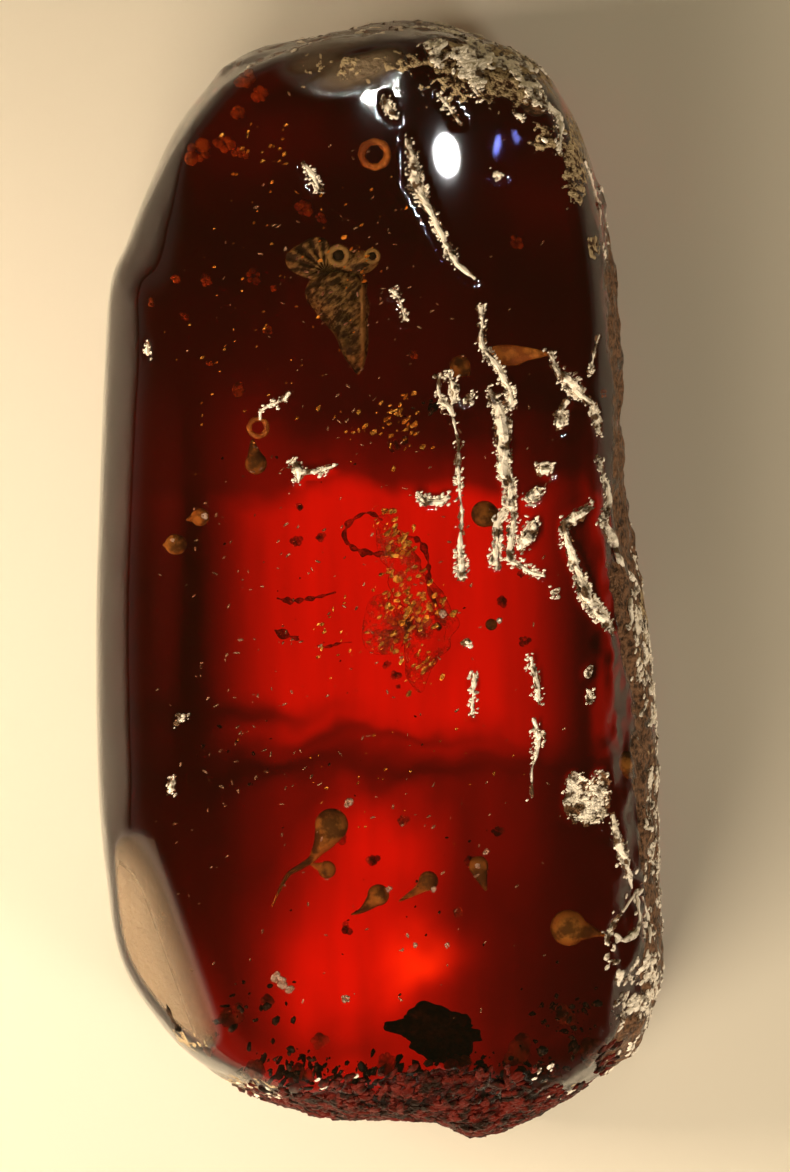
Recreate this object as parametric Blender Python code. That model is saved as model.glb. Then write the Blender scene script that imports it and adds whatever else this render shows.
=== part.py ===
"""Insect in amber: an oblong polished stone of red amber with two insects and a flake of bark sealed inside.

The stone lies on its flat back. +X is its right side, +Y its top end and +Z its polished face.
It is parted along one slanted plane through the sealed pieces, so that each of them lies in an open pocket.
Lengths below are in millimetres and are turned into metres where the meshes are made.
"""

import math

import bmesh
import bpy
import numpy as np
from mathutils import Vector

MM = 0.001

# The stone
LENGTH = 46.0
WIDTH = 23.5
THICKNESS = 12.2
WIDEST_Z = 5.0
SIDE_BULGE = 0.02
FACE_DOME_X = 0.0035
FACE_DOME_Y = 0.0012
BACK_EDGE_RADIUS = 1.3
FACE_EDGE_RADIUS = 1.2
CELLS = (21, 40, 5)

# The broad round shoulder down the left side: its extra radius, and where it fades in across X and at both ends
SHOULDER_RADIUS = 2.4
SHOULDER_X = (-4.0, -9.5)
SHOULDER_TOP_Y = (19.0, 13.0)
SHOULDER_FOOT_Y = (-14.0, -8.0)

# Its outline seen from the polished face, anticlockwise from the middle of the right side
OUTLINE = [
    (10.80, 0.0), (10.15, 4.6), (9.95, 10.0), (9.30, 15.2), (8.20, 19.0), (6.30, 21.5),
    (3.30, 22.75), (0.30, 23.0), (-3.00, 22.5), (-5.90, 21.5), (-8.20, 19.05), (-9.60, 16.2),
    (-10.45, 14.0), (-11.15, 12.2), (-11.40, 8.5), (-11.60, 3.5), (-11.75, -2.0), (-11.65, -8.5),
    (-11.30, -12.5), (-10.70, -15.8), (-9.20, -18.3), (-7.40, -20.1), (-4.50, -21.6), (-1.50, -22.3),
    (1.70, -22.35), (4.30, -23.0), (6.60, -22.1), (8.90, -20.7), (10.80, -19.1), (11.60, -17.0),
    (11.75, -14.5), (11.50, -9.5), (11.25, -4.0),
]

# The flat ground that is cut across the lower left corner: outward direction and distance from the origin
LOWER_LEFT_GROUND = ((-0.665, -0.2415, 0.707), 16.6)

# Rough broken faces: outward direction, distance from the origin, edge radius
BOTTOM_BREAK = ((0.05, -0.648, 0.76), 21.95, 0.5)
RIGHT_BREAK = ((0.80, 0.0, 0.60), 14.55, 0.6)
TOP_BREAK = ((0.30, 0.58, 0.757), 21.85, 0.5)

# Rind, the rough natural skin left on the breaks, the right wall and the two ends: size and height of its
# lumps, and the stretches over which it fades in
LUMP_SIZES = ((2.6, 0.40), (1.3, 0.28))
RIND_RIGHT_Y = (8.5, 6.0)
RIND_WALL_X = (8.6, 9.6)
RIND_END_Y = (20.0, 21.5)
RIND_WALL_Z = (11.2, 10.2)
RIND_FOOT_Z = (0.4, 1.6)

# Cracks and pits in the right half of the face
CRACK_RADIUS = 0.36
CRACK_LIFT = 0.10
PIT_DEPTH = 0.38
PIT_LIFT = 0.12
CRACKS = [
    [(1.1, 18.0), (1.5, 16.1), (2.55, 14.3), (3.9, 12.6), (4.15, 11.4), (4.6, 9.5), (5.0, 7.4), (4.85, 4.5),
     (5.05, 1.8)],
    [(2.6, 8.4), (3.15, 7.2), (3.3, 4.5), (3.45, 0.4)],
    [(6.9, 9.4), (8.1, 7.8), (8.8, 6.3)],
    [(7.5, 2.8), (8.1, 0.8), (9.1, -1.5)],
    [(6.3, -3.2), (6.5, -5.0), (6.45, -8.4)],
]
PITS = [(8.55, -8.95, 1.1), (6.2, 1.0, 0.75), (-2.5, 4.3, 0.75), (9.7, -14.4, 0.9)]

# The parting plane, z = PARTING_Z + PARTING_SLOPE * y, and the gap kept between neighbours
PARTING_Z = 9.70
PARTING_SLOPE = 0.062
GAP = 0.3

# Small insect with folded wings, near the top left: heights above and below the parting plane
WEDGE_AT = (-1.6, 11.37)
WING_OUTLINE = [
    (1.15, -0.3), (1.12, 0.4), (0.91, 1.1), (0.2, 1.3), (-0.79, 1.25), (-1.3, 0.7), (-1.35, 0.15), (-0.8, -0.66),
    (-0.2, -1.37), (0.12, -2.1), (0.42, -2.6), (0.79, -3.0), (1.08, -2.4), (1.2, -1.66),
]
WING_TOP = 0.62
WING_UNDER = 0.35
WING_RIDGE = 0.35
BELLY = ((0.25, -0.3, -0.22), (0.70, 1.5, 0.40))
HEAD = ((0.62, 1.62, 0.02), (1.0, 0.5, 0.40))
WEDGE_EYES = [(-0.02, 1.90, 0.48), (1.35, 1.88, 0.34)]
FAN_ROOT = (-0.55, 1.25)
FAN_OUTLINE = [
    (0.15, -0.15), (0.3, 0.5), (0.1, 1.2), (-0.4, 1.4), (-1.0, 1.15), (-1.6, 0.7), (-1.5, 0.1), (-0.6, -0.35),
]
FAN_PLEATS = 8
PLEAT_DEPTH = 0.45
WEDGE_HIPS = [(-0.35, 0.6), (0.80, 0.6), (-0.25, 0.0), (0.80, 0.0), (0.0, -0.7), (0.75, -0.7)]
WEDGE_MIDDLE_X = 0.2
WEDGE_LEG_RADIUS = 0.085
WEDGE_POCKET = [
    (1.75, -0.5), (1.75, 0.6), (2.1, 1.6), (1.95, 2.4), (1.0, 2.75), (0.1, 2.9), (-0.8, 3.1), (-1.9, 2.85),
    (-2.6, 2.2), (-2.5, 1.2), (-1.85, 0.2), (-1.4, -0.7), (-0.7, -1.9), (-0.1, -2.9), (0.7, -3.6), (1.5, -2.9),
    (1.7, -1.7),
]
WEDGE_POCKET_HEIGHT = 0.98

# Larger broken insect in the middle: stations along its body with their radii, then wing and legs
GOLD_AT = (1.31, -1.29)
GOLD_BODY = [
    (-1.25, 3.74, 0.34), (-0.75, 2.70, 0.52), (-0.29, 1.74, 0.68), (0.21, 0.83, 0.86), (0.62, 0.08, 1.00),
    (0.80, -0.62, 1.00), (0.55, -1.45, 0.84), (0.33, -2.40, 0.60), (0.40, -3.30, 0.30),
]
GOLD_WING = [
    (0.75, -0.4), (0.75, 0.7), (0.1, 1.1), (-0.8, 0.95), (-1.15, 0.1), (-1.2, -0.9), (-0.7, -1.4), (0.2, -1.3),
]
GOLD_WING_AT = (-0.75, -0.4)
GOLD_FLATTEN = 0.8
GOLD_LUMP = 0.2
GOLD_LEGS = [
    [(-1.15, 3.70), (-1.65, 4.00), (-2.12, 3.88), (-2.60, 3.40), (-2.66, 2.92), (-2.24, 2.53), (-1.58, 2.34),
     (-0.75, 2.30)],
    [(-0.60, 2.85), (0.12, 3.00), (0.58, 2.57), (0.76, 1.70), (0.62, 0.95)],
    [(-1.00, 0.15), (-2.20, 0.55), (-3.30, 0.45), (-4.30, 0.62), (-5.40, 0.35)],
    [(-1.20, -1.20), (-2.20, -1.35), (-2.90, -1.48), (-3.90, -1.30), (-4.86, -1.02), (-5.40, -0.70)],
]
GOLD_LEG_RADIUS = 0.13
GOLD_POCKET = [
    (2.35, -0.5), (2.25, 0.9), (1.7, 2.2), (1.1, 3.2), (0.2, 3.7), (-0.7, 4.4), (-2.0, 4.7), (-3.1, 4.0),
    (-3.5, 2.8), (-3.6, 1.8), (-4.6, 1.4), (-6.0, 1.05), (-6.4, -0.1), (-6.1, -1.3), (-4.6, -2.0), (-2.9, -2.5),
    (-1.2, -2.9), (-0.3, -3.7), (0.4, -4.25), (1.2, -3.6), (1.6, -2.4), (2.1, -1.5),
]
GOLD_POCKET_HEIGHT = 1.30

# Flake of bark near the bottom
BARK_AT = (2.55, -18.6)
BARK_OUTLINE = [
    (1.49, -0.33), (1.25, 0.42), (0.42, 0.91), (-0.62, 1.12), (-1.3, 0.83), (-1.5, 0.45), (-2.1, 0.35),
    (-2.15, 0.1), (-1.55, -0.1), (-1.25, -0.62), (-0.2, -1.08), (1.04, -0.91),
]
BARK_POCKET = [
    (2.0, -0.4), (1.85, 0.7), (0.7, 1.45), (-0.7, 1.65), (-1.9, 1.3), (-2.65, 0.6), (-2.6, -0.2), (-1.8, -1.0),
    (-0.3, -1.6), (1.4, -1.4),
]
BARK_POCKET_HEIGHT = 0.95


def new_collection(name):
    """A collection of its own for the object's pieces or for its cutters."""
    collection = bpy.data.collections.new(name)
    bpy.context.scene.collection.children.link(collection)
    return collection


def material(name, colour, roughness, alpha=1.0):
    """One plain surface: colour, roughness and how much of it is seen through."""
    made = bpy.data.materials.new(name)
    made.use_nodes = True
    shader = made.node_tree.nodes["Principled BSDF"]
    shader.inputs["Base Color"].default_value = (*colour, 1.0)
    shader.inputs["Roughness"].default_value = roughness
    shader.inputs["Metallic"].default_value = 0.0
    shader.inputs["Alpha"].default_value = alpha
    return made


def smooth_step(start, end, value):
    """0 at start and before it, 1 at end and past it, and an S-shaped rise between them."""
    t = np.clip((value - start) / (end - start), 0.0, 1.0)
    return t * t * (3.0 - 2.0 * t)


def closed_spline(points, steps=10):
    """A smooth closed curve through the points, steps samples from each point to the next."""
    p = np.array(points, dtype=float)
    before, after, beyond = np.roll(p, 1, 0), np.roll(p, -1, 0), np.roll(p, -2, 0)
    t = (np.arange(steps) / steps)[None, :, None]
    a, b, c, d = (q[:, None, :] for q in (before, p, after, beyond))
    curve = 0.5 * (2 * b + (c - a) * t + (2 * a - 5 * b + 4 * c - d) * t**2 + (3 * b - a - 3 * c + d) * t**3)
    return curve.reshape(-1, 2)


def polar_outline(points, half_x, half_y):
    """The outline as a function: its reach in each direction, in units of the ellipse half_x by half_y."""
    curve = closed_spline(points)
    angle = np.arctan2(curve[:, 1] / half_y, curve[:, 0] / half_x)
    reach = np.hypot(curve[:, 0] / half_x, curve[:, 1] / half_y)
    order = np.argsort(angle)
    return lambda a: np.interp(a, angle[order], reach[order], period=2 * math.pi)


def value_noise(points, cell, seed):
    """Smooth noise from -1 to 1: hashed values at the corners of cubes of side cell, blended between them."""
    scaled = points / cell
    base = np.floor(scaled)
    blend = smooth_step(0.0, 1.0, scaled - base)
    base = base.astype(np.int64)
    total = np.zeros(len(points))
    for corner in range(8):
        step = np.array([corner & 1, corner >> 1 & 1, corner >> 2])
        i, j, k = (base + step).T
        key = (i * 73856093 ^ j * 19349663 ^ k * 83492791 ^ seed * 2654435761) & 0xFFFFFFFF
        key = (key ^ key >> 13) * 1274126177 & 0xFFFFFFFF
        weight = np.prod(np.where(step, blend, 1.0 - blend), axis=1)
        total += weight * ((key ^ key >> 16) / 0x7FFFFFFF - 1.0)
    return total


def round_intersection(a, b, radius):
    """Distance to the overlap of two regions, with the edge between them rounded off by radius."""
    outside = np.hypot(np.maximum(a + radius, 0.0), np.maximum(b + radius, 0.0))
    return np.minimum(np.maximum(a, b), -radius) + outside


STONE_REACH = polar_outline(OUTLINE, WIDTH / 2, LENGTH / 2)


def outline_distance(p):
    """How far a point lies outside the stone's side wall, which swells a little at mid height."""
    x, y, z = p.T
    half_x, half_y = WIDTH / 2, LENGTH / 2
    reach = np.hypot(x / half_x, y / half_y)
    slope = np.hypot(x / half_x**2, y / half_y**2) / np.maximum(reach, 1e-9)
    wall = STONE_REACH(np.arctan2(y / half_y, x / half_x))
    return (reach - wall) / np.maximum(slope, 1e-9) + SIDE_BULGE * (z - WIDEST_Z) ** 2


def face_height(x, y):
    """The gently domed polished face."""
    return THICKNESS - FACE_DOME_X * x**2 - FACE_DOME_Y * y**2


def plane_distance(p, plane):
    """How far a point lies outside one flat ground or broken face."""
    return p @ np.array(plane[0]) - plane[1]


def rind_amount(p):
    """1 on the broken top, right and bottom, where the rough skin is, and 0 on the polished faces."""
    x, y, z = p.T
    right = smooth_step(-0.5, 0.1, plane_distance(p, RIGHT_BREAK)) * smooth_step(*RIND_RIGHT_Y, y)
    bottom = smooth_step(-0.4, 0.1, plane_distance(p, BOTTOM_BREAK))
    top = smooth_step(-0.4, 0.1, plane_distance(p, TOP_BREAK))
    wall = 0.6 * smooth_step(*RIND_WALL_X, x) * smooth_step(*RIND_WALL_Z, z)
    ends = 0.4 * smooth_step(*RIND_END_Y, np.abs(y)) * smooth_step(*RIND_WALL_Z, z)
    return np.maximum.reduce([right, bottom, top, wall, ends]) * smooth_step(*RIND_FOOT_Z, z)


def stone_distance(p):
    """Signed distance to the stone: side wall, domed face, flat back and the broken faces, with rind lumps."""
    x, y, z = p.T
    shoulder = smooth_step(*SHOULDER_X, x) * smooth_step(*SHOULDER_TOP_Y, y) * smooth_step(*SHOULDER_FOOT_Y, y)
    body = round_intersection(outline_distance(p), -z, BACK_EDGE_RADIUS)
    body = round_intersection(body, z - face_height(x, y), FACE_EDGE_RADIUS + SHOULDER_RADIUS * shoulder)
    for plane in (BOTTOM_BREAK, RIGHT_BREAK, TOP_BREAK):
        body = round_intersection(body, plane_distance(p, plane), plane[2])
    lumps = sum(height * value_noise(p, size, 7 + n) for n, (size, height) in enumerate(LUMP_SIZES))
    return body + rind_amount(p) * lumps


def to_surface(inner, outer, distance):
    """Slides each point along its own line from inner to outer until the distance is nought."""
    low, high = np.zeros(len(inner)), np.ones(len(inner)) * 1.15
    for _ in range(30):
        middle = (low + high) / 2
        inside = distance(inner + middle[:, None] * (outer - inner)) < 0
        low, high = np.where(inside, middle, low), np.where(inside, high, middle)
    return inner + low[:, None] * (outer - inner)


def link_mesh(name, bm, collection, surface):
    """Turns a bmesh in millimetres into a named object in metres."""
    bmesh.ops.scale(bm, vec=(MM, MM, MM), verts=bm.verts)
    bmesh.ops.recalc_face_normals(bm, faces=bm.faces)
    mesh = bpy.data.meshes.new(name)
    bm.to_mesh(mesh)
    bm.free()
    made = bpy.data.objects.new(name, mesh)
    collection.objects.link(made)
    if surface is not None:
        mesh.materials.append(surface)
    return made


def read_points(bm):
    """All vertex positions of a bmesh, one row each."""
    return np.array([vert.co[:] for vert in bm.verts])


def write_points(bm, points):
    """Moves the vertices of a bmesh to the rows of points."""
    for vert, point in zip(bm.verts, points):
        vert.co = point


def blank_block(size, cells):
    """A box of the stone's size, cut into cells along each axis."""
    bm = bmesh.new()
    bmesh.ops.create_cube(bm, size=1.0)
    bmesh.ops.scale(bm, vec=size, verts=bm.verts)
    for axis, count in enumerate(cells):
        along = [e for e in bm.edges if abs((e.verts[0].co - e.verts[1].co).normalized()[axis]) > 0.5]
        bmesh.ops.subdivide_edges(bm, edges=along, cuts=count - 1)
    return bm


def make_stone(collection, surface):
    """The whole stone, shaped from a box whose points slide in to the stone's surface."""
    half = np.array([WIDTH, LENGTH, THICKNESS]) / 2
    bm = blank_block((WIDTH, LENGTH, THICKNESS), CELLS)
    middle = np.array([0.0, 0.0, half[2]])
    outer = read_points(bm)
    inner = outer * np.array([1.0 - half[2] / half[0], 1.0 - half[2] / half[1], 0.0])
    write_points(bm, to_surface(inner + middle, outer + middle, stone_distance))
    return link_mesh("amber_front", bm, collection, surface)


def blob_bm(outline, top, bottom, segments, rings, power=2.0, ridge=0.0):
    """A closed lens over a free outline: a ball whose rim follows the outline, with a roof-like ridge along Y.

    A higher power gives it a flatter top and steeper sides.
    """
    spread = np.abs(np.array(outline)).max(axis=0)
    reach = polar_outline(outline, *spread)
    bm = bmesh.new()
    bmesh.ops.create_uvsphere(bm, u_segments=segments, v_segments=rings, radius=1.0)
    x, y, z = read_points(bm).T
    tall = np.sqrt(1.0 - np.minimum(np.hypot(x, y), 1.0) ** power)
    grow = reach(np.arctan2(y, x))
    height = np.where(z >= 0, top, -bottom) * tall * (1.0 - ridge * np.minimum(1.0, np.abs(x)))
    points = np.stack([x * grow * spread[0], y * grow * spread[1], height], axis=1)
    write_points(bm, points)
    return bm


def ball_bm(centre, radii, segments=10, rings=6):
    """One ellipsoid."""
    bm = bmesh.new()
    bmesh.ops.create_uvsphere(bm, u_segments=segments, v_segments=rings, radius=1.0)
    bmesh.ops.scale(bm, vec=radii, verts=bm.verts)
    bmesh.ops.translate(bm, vec=centre, verts=bm.verts)
    return bm


def shift(bm, offset):
    """Moves a bmesh."""
    bmesh.ops.translate(bm, vec=offset, verts=bm.verts)
    return bm


def open_spline(rows, steps=2):
    """Rows blended smoothly from each to the next, with steps samples in between."""
    p = np.array(rows, dtype=float)
    p = np.concatenate([[2 * p[0] - p[1]], p, [2 * p[-1] - p[-2]]])
    a, b, c, d = (q[:, None, :] for q in (p[:-3], p[1:-2], p[2:-1], p[3:]))
    t = (np.arange(steps) / steps)[None, :, None]
    curve = 0.5 * (2 * b + (c - a) * t + (2 * a - 5 * b + 4 * c - d) * t**2 + (3 * b - a - 3 * c + d) * t**3)
    return np.concatenate([curve.reshape(-1, p.shape[1]), p[-2:-1]])


def curve_mesh(name, rows, resolution, closed, collection):
    """A round rod through rows of x, y, z and radius: a bevelled curve turned into a closed mesh."""
    curve = bpy.data.curves.new(name, "CURVE")
    curve.dimensions = "3D"
    curve.bevel_depth = MM
    curve.bevel_resolution = resolution
    curve.use_fill_caps = not closed
    spline = curve.splines.new("POLY")
    spline.points.add(len(rows) - 1)
    spline.use_cyclic_u = closed
    for spot, (x, y, z, radius) in zip(spline.points, rows):
        spot.co = (x * MM, y * MM, z * MM, 1.0)
        spot.radius = radius
    rod = bpy.data.objects.new(name + "_curve", curve)
    collection.objects.link(rod)
    bpy.context.view_layer.update()
    seen = rod.evaluated_get(bpy.context.evaluated_depsgraph_get())
    mesh = bpy.data.meshes.new_from_object(seen)
    bpy.data.objects.remove(rod)
    bm = bmesh.new()
    bm.from_mesh(mesh)
    bmesh.ops.remove_doubles(bm, verts=bm.verts, dist=1e-6)
    bmesh.ops.recalc_face_normals(bm, faces=bm.faces)
    bm.to_mesh(mesh)
    bm.free()
    made = bpy.data.objects.new(name, mesh)
    collection.objects.link(made)
    return made


def rod_object(name, stations, resolution, collection):
    """A rod whose stations are x, y and radius, lying level at height nought."""
    rows = [(x, y, 0.0, radius) for x, y, radius in stations]
    return curve_mesh(name, rows, resolution, False, collection)


def crumple(made, flatten, amount):
    """Flattens a body and roughens it with lumps."""
    points = np.array([vert.co[:] for vert in made.data.vertices]) / MM
    points[:, 2] *= flatten
    outward = np.array([vert.normal[:] for vert in made.data.vertices])
    points += outward * (amount * value_noise(points, 0.55, 5))[:, None]
    made.data.vertices.foreach_set("co", (points * MM).astype(np.float32).ravel())


def hide_cutter(cutter):
    """Shows a cutter as wire and leaves it out of the model."""
    cutter.hide_render = True
    cutter.display_type = "WIRE"


def boolean(target, tool, operation):
    """Cuts the tool from the target, or joins it on."""
    step = target.modifiers.new(tool.name, "BOOLEAN")
    step.object = tool
    step.operation = operation
    step.solver = "EXACT"
    hide_cutter(tool)


def parting_height(y):
    """The parting plane's height at y."""
    return PARTING_Z + PARTING_SLOPE * y


def half_block(name, side, cutters):
    """A block that covers one side of the parting plane and reaches half the gap past it."""
    bm = bmesh.new()
    bmesh.ops.create_cube(bm, size=1.0)
    bmesh.ops.scale(bm, vec=(60.0, 90.0, 30.0), verts=bm.verts)
    for vert in bm.verts:
        vert.co.z += side * (15.0 - GAP / 2) + parting_height(vert.co.y)
    return link_mesh(name, bm, cutters, None)


def ground_block(cutters):
    """A block whose lower face is the flat ground across the lower left corner."""
    outward, distance = LOWER_LEFT_GROUND
    bm = bmesh.new()
    bmesh.ops.create_cube(bm, size=20.0)
    bmesh.ops.translate(bm, vec=(0.0, 0.0, 10.0 + distance), verts=bm.verts)
    turn = Vector((0.0, 0.0, 1.0)).rotation_difference(Vector(outward))
    bmesh.ops.rotate(bm, cent=(0.0, 0.0, 0.0), matrix=turn.to_matrix(), verts=bm.verts)
    corner = Vector((-8.0, -16.0, 9.0))
    bmesh.ops.translate(bm, vec=corner - corner.project(Vector(outward)), verts=bm.verts)
    return link_mesh("lower_left_ground", bm, cutters, None)


def crack_cutter(number, points, cutters):
    """A rod of uneven width lying along one crack, sunk most of the way into the face."""
    path = open_spline(points)
    spots = np.column_stack([path, face_height(path[:, 0], path[:, 1]) + CRACK_LIFT])
    widths = CRACK_RADIUS * (1.0 + 0.35 * value_noise(spots, 0.9, 3))
    return curve_mesh(f"crack_{number}", np.column_stack([spots, widths]), 0, False, cutters)


def pit_cutter(number, x, y, radius, cutters):
    """A flattened ball that leaves one shallow pit."""
    bm = ball_bm((x, y, face_height(x, y) + PIT_LIFT), (radius, radius * 0.9, PIT_DEPTH + PIT_LIFT), 10, 6)
    return link_mesh(f"pit_{number}", bm, cutters, None)


def pocket_cutter(name, outline, height, centre, cutters):
    """The space left round one sealed piece."""
    bm = blob_bm(outline, height, height, 18, 6, power=4.0)
    shift(bm, (centre[0], centre[1], parting_height(centre[1])))
    return link_mesh(name, bm, cutters, None)


def join_all(body, others):
    """Joins the other pieces on to the body."""
    for other in others:
        boolean(body, other, "UNION")


def pleated_fan_bm():
    """A thin fan whose pleats run out from its root."""
    bm = blob_bm(FAN_OUTLINE, 0.22, 0.14, 2 * FAN_PLEATS, 6, 4.0)
    points = read_points(bm)
    turn = np.arctan2(points[:, 1], points[:, 0])
    points[:, 2] *= 1.0 + PLEAT_DEPTH * np.cos(FAN_PLEATS * turn)
    write_points(bm, points)
    return shift(bm, (*FAN_ROOT, 0.05))


def folded_legs(cutters):
    """Short bent legs, three on each side, folded under the small insect."""
    legs = []
    for n, (x, y) in enumerate(WEDGE_HIPS):
        side = math.copysign(1.0, x - WEDGE_MIDDLE_X)
        joints = [(x, y, 0.0), (x + side * 0.28, y + 0.15, -0.20), (x + side * 0.17, y - 0.5, -0.50)]
        rows = [(*joint, WEDGE_LEG_RADIUS) for joint in joints]
        legs.append(curve_mesh(f"wedge_leg_{n}", rows, 0, False, cutters))
    return legs


def eye_pieces(number, x, y, radius, cutters):
    """One round eye sunk in a thick ring."""
    eye = ball_bm((x, y, 0.12), (radius * 0.7, radius * 0.7, 0.30), 10, 6)
    turns = [2 * math.pi * k / 12 for k in range(12)]
    middle = radius * 0.74
    rows = [(x + middle * math.cos(a), y + middle * math.sin(a), 0.30, radius * 0.3) for a in turns]
    ring = curve_mesh(f"eye_ring_{number}", rows, 0, True, cutters)
    return [link_mesh(f"eye_{number}", eye, cutters, None), ring]


def make_wedge_insect(collection, cutters, surface):
    """The small insect: roofed wings over a belly, a broad head with two ringed eyes and a pleated fan."""
    wings = blob_bm(WING_OUTLINE, WING_TOP, WING_UNDER, 22, 8, 3.0, WING_RIDGE)
    body = link_mesh("wedge_insect", wings, collection, surface)
    extras = [link_mesh("belly", ball_bm(*BELLY), cutters, None)]
    extras.append(link_mesh("head", ball_bm(*HEAD), cutters, None))
    for n, (x, y, radius) in enumerate(WEDGE_EYES):
        extras += eye_pieces(n, x, y, radius, cutters)
    extras.append(link_mesh("fan", pleated_fan_bm(), cutters, None))
    join_all(body, extras + folded_legs(cutters))
    settle(body, WEDGE_AT)
    return body


def settle(body, place):
    """Sets a sealed piece at its place on the slanted parting plane."""
    x, y = place
    body.location = (x * MM, y * MM, parting_height(y) * MM)
    body.rotation_euler = (math.atan(PARTING_SLOPE), 0.0, 0.0)
    for step in body.modifiers:
        step.object.location = body.location
        step.object.rotation_euler = body.rotation_euler


def make_gold_insect(collection, cutters, surface):
    """The larger insect: a swollen, broken body with a wing stub, curled front legs and two long ones."""
    body = rod_object("gold_insect", open_spline(GOLD_BODY, 3), 3, cutters)
    crumple(body, GOLD_FLATTEN, GOLD_LUMP)
    cutters.objects.unlink(body)
    collection.objects.link(body)
    body.data.materials.append(surface)
    wing = shift(blob_bm(GOLD_WING, 0.55, 0.35, 16, 6, 3.0), (*GOLD_WING_AT, 0.0))
    extras = [link_mesh("gold_wing", wing, cutters, None)]
    for n, points in enumerate(GOLD_LEGS):
        stations = [(x, y, GOLD_LEG_RADIUS) for x, y in open_spline(points)]
        extras.append(rod_object(f"gold_leg_{n}", stations, 1, cutters))
    join_all(body, extras)
    settle(body, GOLD_AT)
    return body


def make_bark_flake(collection, surface):
    """A lumpy scrap of bark with a short spur on its left."""
    bm = blob_bm(BARK_OUTLINE, 0.55, 0.5, 20, 8, 3.0)
    points = read_points(bm)
    points[:, 2] *= 1.0 + 0.35 * value_noise(points, 0.7, 21)
    write_points(bm, points)
    flake = link_mesh("bark_flake", bm, collection, surface)
    settle(flake, BARK_AT)
    return flake


def part_stone(stone, collection, cutters):
    """Cuts the ground, cracks, pits and pockets, then parts the stone: its back half is a copy."""
    ground = ground_block(cutters)
    boolean(stone, ground, "DIFFERENCE")
    for n, points in enumerate(CRACKS):
        boolean(stone, crack_cutter(n, points, cutters), "DIFFERENCE")
    for n, (x, y, radius) in enumerate(PITS):
        boolean(stone, pit_cutter(n, x, y, radius, cutters), "DIFFERENCE")
    pockets = [
        pocket_cutter("wedge_pocket", WEDGE_POCKET, WEDGE_POCKET_HEIGHT, WEDGE_AT, cutters),
        pocket_cutter("gold_pocket", GOLD_POCKET, GOLD_POCKET_HEIGHT, GOLD_AT, cutters),
        pocket_cutter("bark_pocket", BARK_POCKET, BARK_POCKET_HEIGHT, BARK_AT, cutters),
    ]
    back = stone.copy()
    back.data = stone.data.copy()
    back.name = "amber_back"
    back.modifiers.clear()
    collection.objects.link(back)
    boolean(back, ground, "DIFFERENCE")
    for pocket in pockets:
        boolean(stone, pocket, "DIFFERENCE")
        boolean(back, pocket, "DIFFERENCE")
    boolean(stone, half_block("below_parting", -1.0, cutters), "DIFFERENCE")
    boolean(back, half_block("above_parting", 1.0, cutters), "DIFFERENCE")


def main():
    for old in list(bpy.data.objects):
        bpy.data.objects.remove(old)
    collection = new_collection("insect_in_amber")
    cutters = new_collection("cutters")
    amber = material("red amber", (0.30, 0.02, 0.0), 0.05, 0.5)
    wings = material("olive brown wing", (0.33, 0.24, 0.12), 0.6)
    gold = material("gold brown shell", (0.38, 0.22, 0.06), 0.35)
    bark = material("black bark", (0.015, 0.010, 0.008), 0.8)
    stone = make_stone(collection, amber)
    part_stone(stone, collection, cutters)
    make_wedge_insect(collection, cutters, wings)
    make_gold_insect(collection, cutters, gold)
    make_bark_flake(collection, bark)


main()
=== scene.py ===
# %% [markdown]
# # Insect in amber
#
# A polished, oblong stone of dark red amber lies on its flat back. Two insects and a flake of bark are
# sealed in it, with drops of lighter resin, gold spangles and crumbs. A rough pale rind is left on its
# top, right side and bottom. +X is the stone's right, +Y its top end and +Z its polished face.
# Lengths are in millimetres until a mesh is made.

import math

import bpy
import numpy as np
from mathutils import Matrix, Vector


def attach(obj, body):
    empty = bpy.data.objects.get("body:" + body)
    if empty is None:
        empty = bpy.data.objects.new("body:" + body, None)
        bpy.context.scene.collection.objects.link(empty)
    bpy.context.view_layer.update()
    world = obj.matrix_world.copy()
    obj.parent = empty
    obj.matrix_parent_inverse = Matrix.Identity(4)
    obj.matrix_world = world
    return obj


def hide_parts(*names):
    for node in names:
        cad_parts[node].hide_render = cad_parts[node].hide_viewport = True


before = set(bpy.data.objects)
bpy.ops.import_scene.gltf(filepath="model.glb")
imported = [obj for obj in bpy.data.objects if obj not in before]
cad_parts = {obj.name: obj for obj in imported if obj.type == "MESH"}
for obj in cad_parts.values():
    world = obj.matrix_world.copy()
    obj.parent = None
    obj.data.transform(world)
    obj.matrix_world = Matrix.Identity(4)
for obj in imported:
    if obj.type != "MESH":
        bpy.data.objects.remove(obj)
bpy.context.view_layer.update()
MM = 0.001
RANDOM = np.random.default_rng(45)

# %% [markdown]
# ## Measuring tools
#
# Amber breaks and wears into a shape that no box or cylinder gives. It could be sculpted, but a formula can
# be read and changed, so the stone is an implicit surface: the formula says how far any point lies outside
# it. Smooth steps, hashed noise, hills and rounded overlaps are the bricks that it is built from.


# %% Steps, noise, hills and overlaps
def smooth_step(start, end, value):
    """0 up to start, 1 from end on, and 3t^2 - 2t^3 between them, t being the share of the way."""
    t = np.clip((value - start) / (end - start), 0.0, 1.0)
    return t * t * (3.0 - 2.0 * t)


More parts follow.
